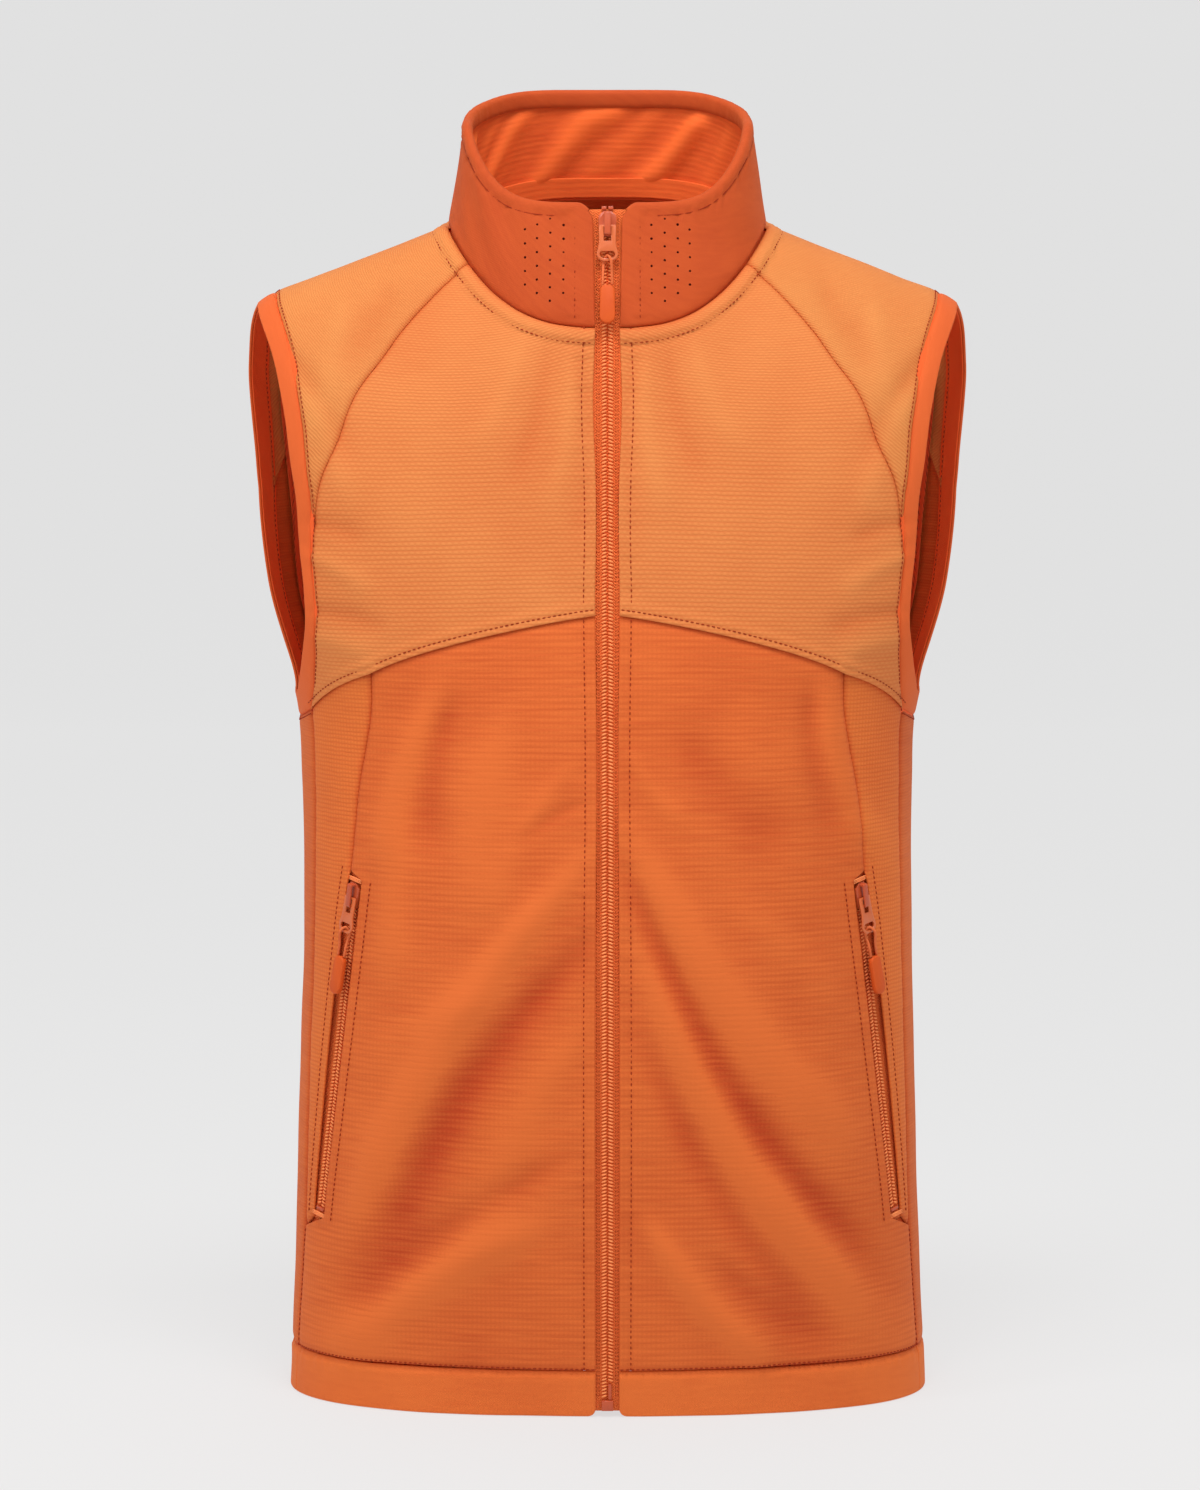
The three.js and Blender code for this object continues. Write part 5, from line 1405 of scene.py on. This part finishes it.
def zips():
    xs = np.array([-0.08, 0.4, 1.5, 2.8, 3.8, 4.6, 5.2, 6.2, 7.4, 8.8, 10.2, 11.4, 12.1, 12.5])
    z = np.linspace(2.5, 680, 340)
    drop = 0.75 * np.clip((z - 480) / 110, 0, 1)[None] * smooth(xs, 5.2, 12.5)[:, None]
    ease = 0.12 * np.sin(z / 7.0)[None] * smooth(xs, 4, 9)[:, None] - 0.12
    for side, word in ((1, "left"), (-1, "right")):
        tapeSheet(word + "MainTape", mainFrames(z), xs, -2.1 - drop + ease * 0.6, 0.7, side,
                  [word + "_main_zip_tape"])
        low = 19.5 if side > 0 else 11.0
        teeth = np.arange(low + 0.7 + (1.0 if side > 0 else 0), 678, 2.0)
        piece = setOut(word + "MainCoil", [toothRows(mainFrames(teeth), 1.85, -1.1, -0.35, side)],
                       (3.5, 1.3, 1.5),
                       hards["coil"], "zip_chain", segments=7, rings=5)
        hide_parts(word + "_main_zip_chain")
        rows = []
        for x in (4.7, 5.9):
            marks = np.arange(12, 676, 2.3)
            origin, across, out = mainFrames(marks)
            up = np.cross(out, across) * -1
            up = up * np.sign(up[:, 2:3])
            rows.append([(origin + across * x + out * -2.08) * (side, 1, 1), up, out])
        setOut(word + "TapeStitches", rows, (1.5, 0.45, 0.45), hards["thread"], "zip_tape", segments=5,
               rings=4)
    s = np.linspace(-6, pocketLength + 8, 104)
    for way, word2 in ((-1, "inner"), (1, "outer")):
        xs = way * np.array([0.12, 0.5, 1.5, 2.8, 3.8, 4.9, 6.0, 7.4, 8.8, 10.2, 11.1, 11.5])
        heights = pocketTapeEdge(s, way)
        top = -1.6 + (heights + 1.6)[None] * np.clip((np.abs(xs) - 4.2) / 7.3, 0, 1)[:, None]
        for side, word in ((1, "left"), (-1, "right")):
            tapeSheet(word + "PocketTape" + word2.capitalize(), pocketFrames(s), xs, top, 0.7, side,
                      [word + "_pocket_zip_tape_" + word2])
            teeth = np.arange(3.7 + (1.0 if way > 0 else 0), pocketLength - 1, 2.0)
            piece = setOut(word + "PocketCoil" + word2.capitalize(),
                           [toothRows(pocketFrames(teeth), way * 1.75, -0.8, -0.35 * way, side)],
                           (3.3, 1.3, 1.5),
                           hards["coil"], "zip_chain", segments=7, rings=5)
            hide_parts(word + "_pocket_zip_chain_" + word2)


def pocketTapeEdge(s, way):
    # how high the cloth it is sewn to lies, at the tape's outer edge
    out = []
    for run in s:
        p = pocketLow + pocketUp * run - pocketOut * pocketZip["sink"] + pocketAcross * way * 11.5
        angles = math.degrees(math.atan2(p[0] / 180, -p[1] / 118)) + np.arange(-12, 12.1, 0.5)
        _, t = atAngle(float(angles[24]), p[2])
        q = body(angles, np.full(angles.shape, t))
        best = np.argmin(np.abs((q - p) @ pocketAcross))
        out.append(float((q[best] - p) @ pocketOut) - 1.8 - 0.95)
    return np.array(out)


zips()
print("zips sewn in")


# sewing on the shell
def sewing():
    rows = []
    for side in (1, -1):
        rows.append(stitchRow(chestInner, -6.5, -0.3, side))
        rows.append(stitchRow(frontInner, -6.5, -0.3, side))
        rows.append(stitchRow(chestSeamIn, 3.5, 0.5, side, 3.0))
        rows.append(stitchRow(chestSeamOut, 3.5, 0.5, side, 3.0))
        rows.append(stitchRow(frontFoot, 1.2, -0.3, side, 3.0))
        rows.append(stitchRow(pocketInner, 6.8, -0.05, side, 3.0, folds=smooth(6.8, 0, pocketZip["calm"])))
        rows.append(stitchRow(pocketOuter, -5.8, -0.02, side, 3.0, folds=smooth(5.8, 0, pocketZip["calm"])))
        rows.append(stitchRow(sideLow, 1.4, -0.3, side, 3.0))
        rows.append(stitchRow(bandFront, 2.2, -0.2, side, 2.8))
        rows.append(stitchRow(turned(bandOver), -2.2, -0.2, side, 2.8))
        rows.append(stitchRow(bandUnder, -2.2, -0.2, side, 2.8))
        rows.append(stitchRow(shoulderNeck, -8.9, 0.15, side, 3.0))
        rows.append(stitchRow(chestTop, -8.9, 0.15, side, 3.0, ends=(0.02, 1)))
    rows.append(stitchRow(neckBack, -8.9, 0.15, 1, 3.0))
    setOut("shellStitches", rows, (2.1, 0.75, 0.7), hards["thread"], "body_fabric")
    tacks = []
    for side in (1, -1):
        for s in (-2.4, -1.6, -0.8, pocketLength + 0.4, pocketLength + 1.2, pocketLength + 2.0):
            origin, across, out = pocketFrames([s])
            tacks.append([(origin + out * (pocketZip["sink"] - 0.5)) * (side, 1, 1), across * (side, 1, 1),
                          out * (side, 1, 1)])
    setOut("pocketBarTacks", tacks, (13.5, 0.95, 1.1), hards["coil"], "body_fabric", segments=7, rings=9)
    facingRows = []
    rim = chainOf((turned(rimFront), 5), (rimUnder, 7), (turned(rimOver), 14))
    line = rim(np.linspace(0, 1, 400))
    outer = chainOf((turned(bandFront), 5), (bandUnder, 7), (turned(bandOver), 14))(np.linspace(0, 1, 400))
    for side in (1, -1):
        facingRows.append(stitchRow(line + (outer - line) * 1.02, 0, -2.62, side, 2.9, folds=False))
    setOut("facingStitches", facingRows, (1.8, 0.6, 0.5), hards["thread"], "lining_mesh")


sewing()
print("seams stitched")


# sliders, pulls and stops keep the frame's shapes, with their edges eased
def eased(name, nodeName, width, finish, body2, segments=2, angle=35):
    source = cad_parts[nodeName]
    mesh = source.data.copy()
    obj = bpy.data.objects.new(name, mesh)
    scene.collection.objects.link(obj)
    mesh.transform(source.matrix_world)
    bm = bmesh.new()
    bm.from_mesh(mesh)
    bmesh.ops.remove_doubles(bm, verts=bm.verts, dist=2e-6)
    bmesh.ops.dissolve_limit(bm, angle_limit=math.radians(1.5), verts=bm.verts, edges=bm.edges)
    bmesh.ops.recalc_face_normals(bm, faces=bm.faces)
    bm.to_mesh(mesh)
    bm.free()
    mesh.materials.clear()
    mesh.materials.append(finish)
    bevel = obj.modifiers.new("easedEdges", "BEVEL")
    bevel.width = width / 1000
    bevel.segments = segments
    bevel.limit_method = "ANGLE"
    bevel.angle_limit = math.radians(angle)
    bevel.use_clamp_overlap = True
    made = bpy.data.meshes.new_from_object(obj.evaluated_get(bpy.context.evaluated_depsgraph_get()))
    obj.modifiers.clear()
    obj.data = made
    made.polygons.foreach_set("use_smooth", np.ones(len(made.polygons), bool))
    made.set_sharp_from_angle(angle=math.radians(40))
    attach(obj, body2)
    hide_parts(nodeName)
    return obj


def hardware():
    eased("retainerBox", "main_zip_retainer_box", 0.35, hards["slider"], "vest")
    eased("insertionPin", "main_zip_insertion_pin", 0.25, hards["slider"], "vest")
    for word in ("left", "right"):
        eased(word + "TopStop", word + "_main_zip_top_stop", 0.25, hards["slider"], "vest")
        eased(word + "PocketStop", word + "_pocket_zip_bottom_stop", 0.25, hards["slider"],
              "vest")
    for prefix, body2 in (("main", "main"), ("left_pocket", "left_pocket"), ("right_pocket", "right_pocket")):
        label = prefix.replace("_p", "P")
        eased(label + "Slider", prefix + "_slider_body", 0.28, hards["slider"],
              body2 + "_slider")
        eased(label + "PullTab", prefix + "_pull_tab", 0.3, hards["paint"], body2 + "_tab")
        eased(label + "PullCord", prefix + "_pull_cord", 0.05, hards["cord"], body2 + "_grip",
              angle=80)
        eased(label + "PullGrip", prefix + "_pull_grip", 0.3, hards["grip"], body2 + "_grip")


hardware()
print("sliders and pulls finished")


# floor, backdrop and light
def studio():
    w = Wiring("paleFloor")
    place = w.add("ShaderNodeTexCoord").outputs["Object"]
    w.links.new(w.mix(w.noise(place, (1.2, 1.2, 1.2)), (0.17, 0.17, 0.17, 1), (0.16, 0.16, 0.16, 1)),
                w.shader.inputs["Base Color"])
    w.shader.inputs["Roughness"].default_value = 0.95
    w.shader.inputs["Specular IOR Level"].default_value = 0.1
    w.shader.inputs["Emission Color"].default_value = (1, 1, 1, 1)
    w.shader.inputs["Emission Strength"].default_value = 0.655
    bend = np.linspace(0, math.pi / 2, 17)[1:]
    depth = [-16.0, 3.8] + [3.8 + 1.6 * math.sin(a) for a in bend] + [5.4]
    height = [0.0, 0.0] + [1.6 - 1.6 * math.cos(a) for a in bend] + [7.0]
    verts = [(x, y, z - 0.0005) for y, z in zip(depth, height) for x in (-14, 14)]
    faces = [(2 * k, 2 * k + 1, 2 * k + 3, 2 * k + 2) for k in range(len(depth) - 1)]
    mesh = bpy.data.meshes.new("studioSweep")
    mesh.from_pydata(verts, [], faces)
    mesh.polygons.foreach_set("use_smooth", np.ones(len(faces), bool))
    mesh.materials.append(w.material)
    sweep = bpy.data.objects.new("studioSweep", mesh)
    scene.collection.objects.link(sweep)
    world = bpy.data.worlds.new("softRoom")
    scene.world = world
    world.use_nodes = True
    world.node_tree.nodes["Background"].inputs["Color"].default_value = (1.0, 0.99, 0.985, 1)
    world.node_tree.nodes["Background"].inputs["Strength"].default_value = 0.4
    lights = {"overhead": ((0.05, -0.95, 2.5), 0.8, 37, (0.0, 0.0, 0.40)),
              "key": ((-1.9, -1.5, 1.7), 0.7, 15, (0, 0, 0.4)),
              "fill": ((1.9, -2.2, 1.1), 1.6, 5, (0, 0, 0.36))}
    for name, (at, size, power, aim) in lights.items():
        lamp = bpy.data.lights.new(name, "AREA")
        lamp.shape = "SQUARE"
        lamp.size = size
        lamp.energy = power
        obj = bpy.data.objects.new(name, lamp)
        scene.collection.objects.link(obj)
        obj.location = at
        obj.rotation_euler = (Vector(aim) - Vector(at)).to_track_quat("-Z", "Y").to_euler()


studio()
scene.view_settings.view_transform = "Standard"
scene.view_settings.look = "None"
scene.view_settings.exposure = 0.0
print("finished")
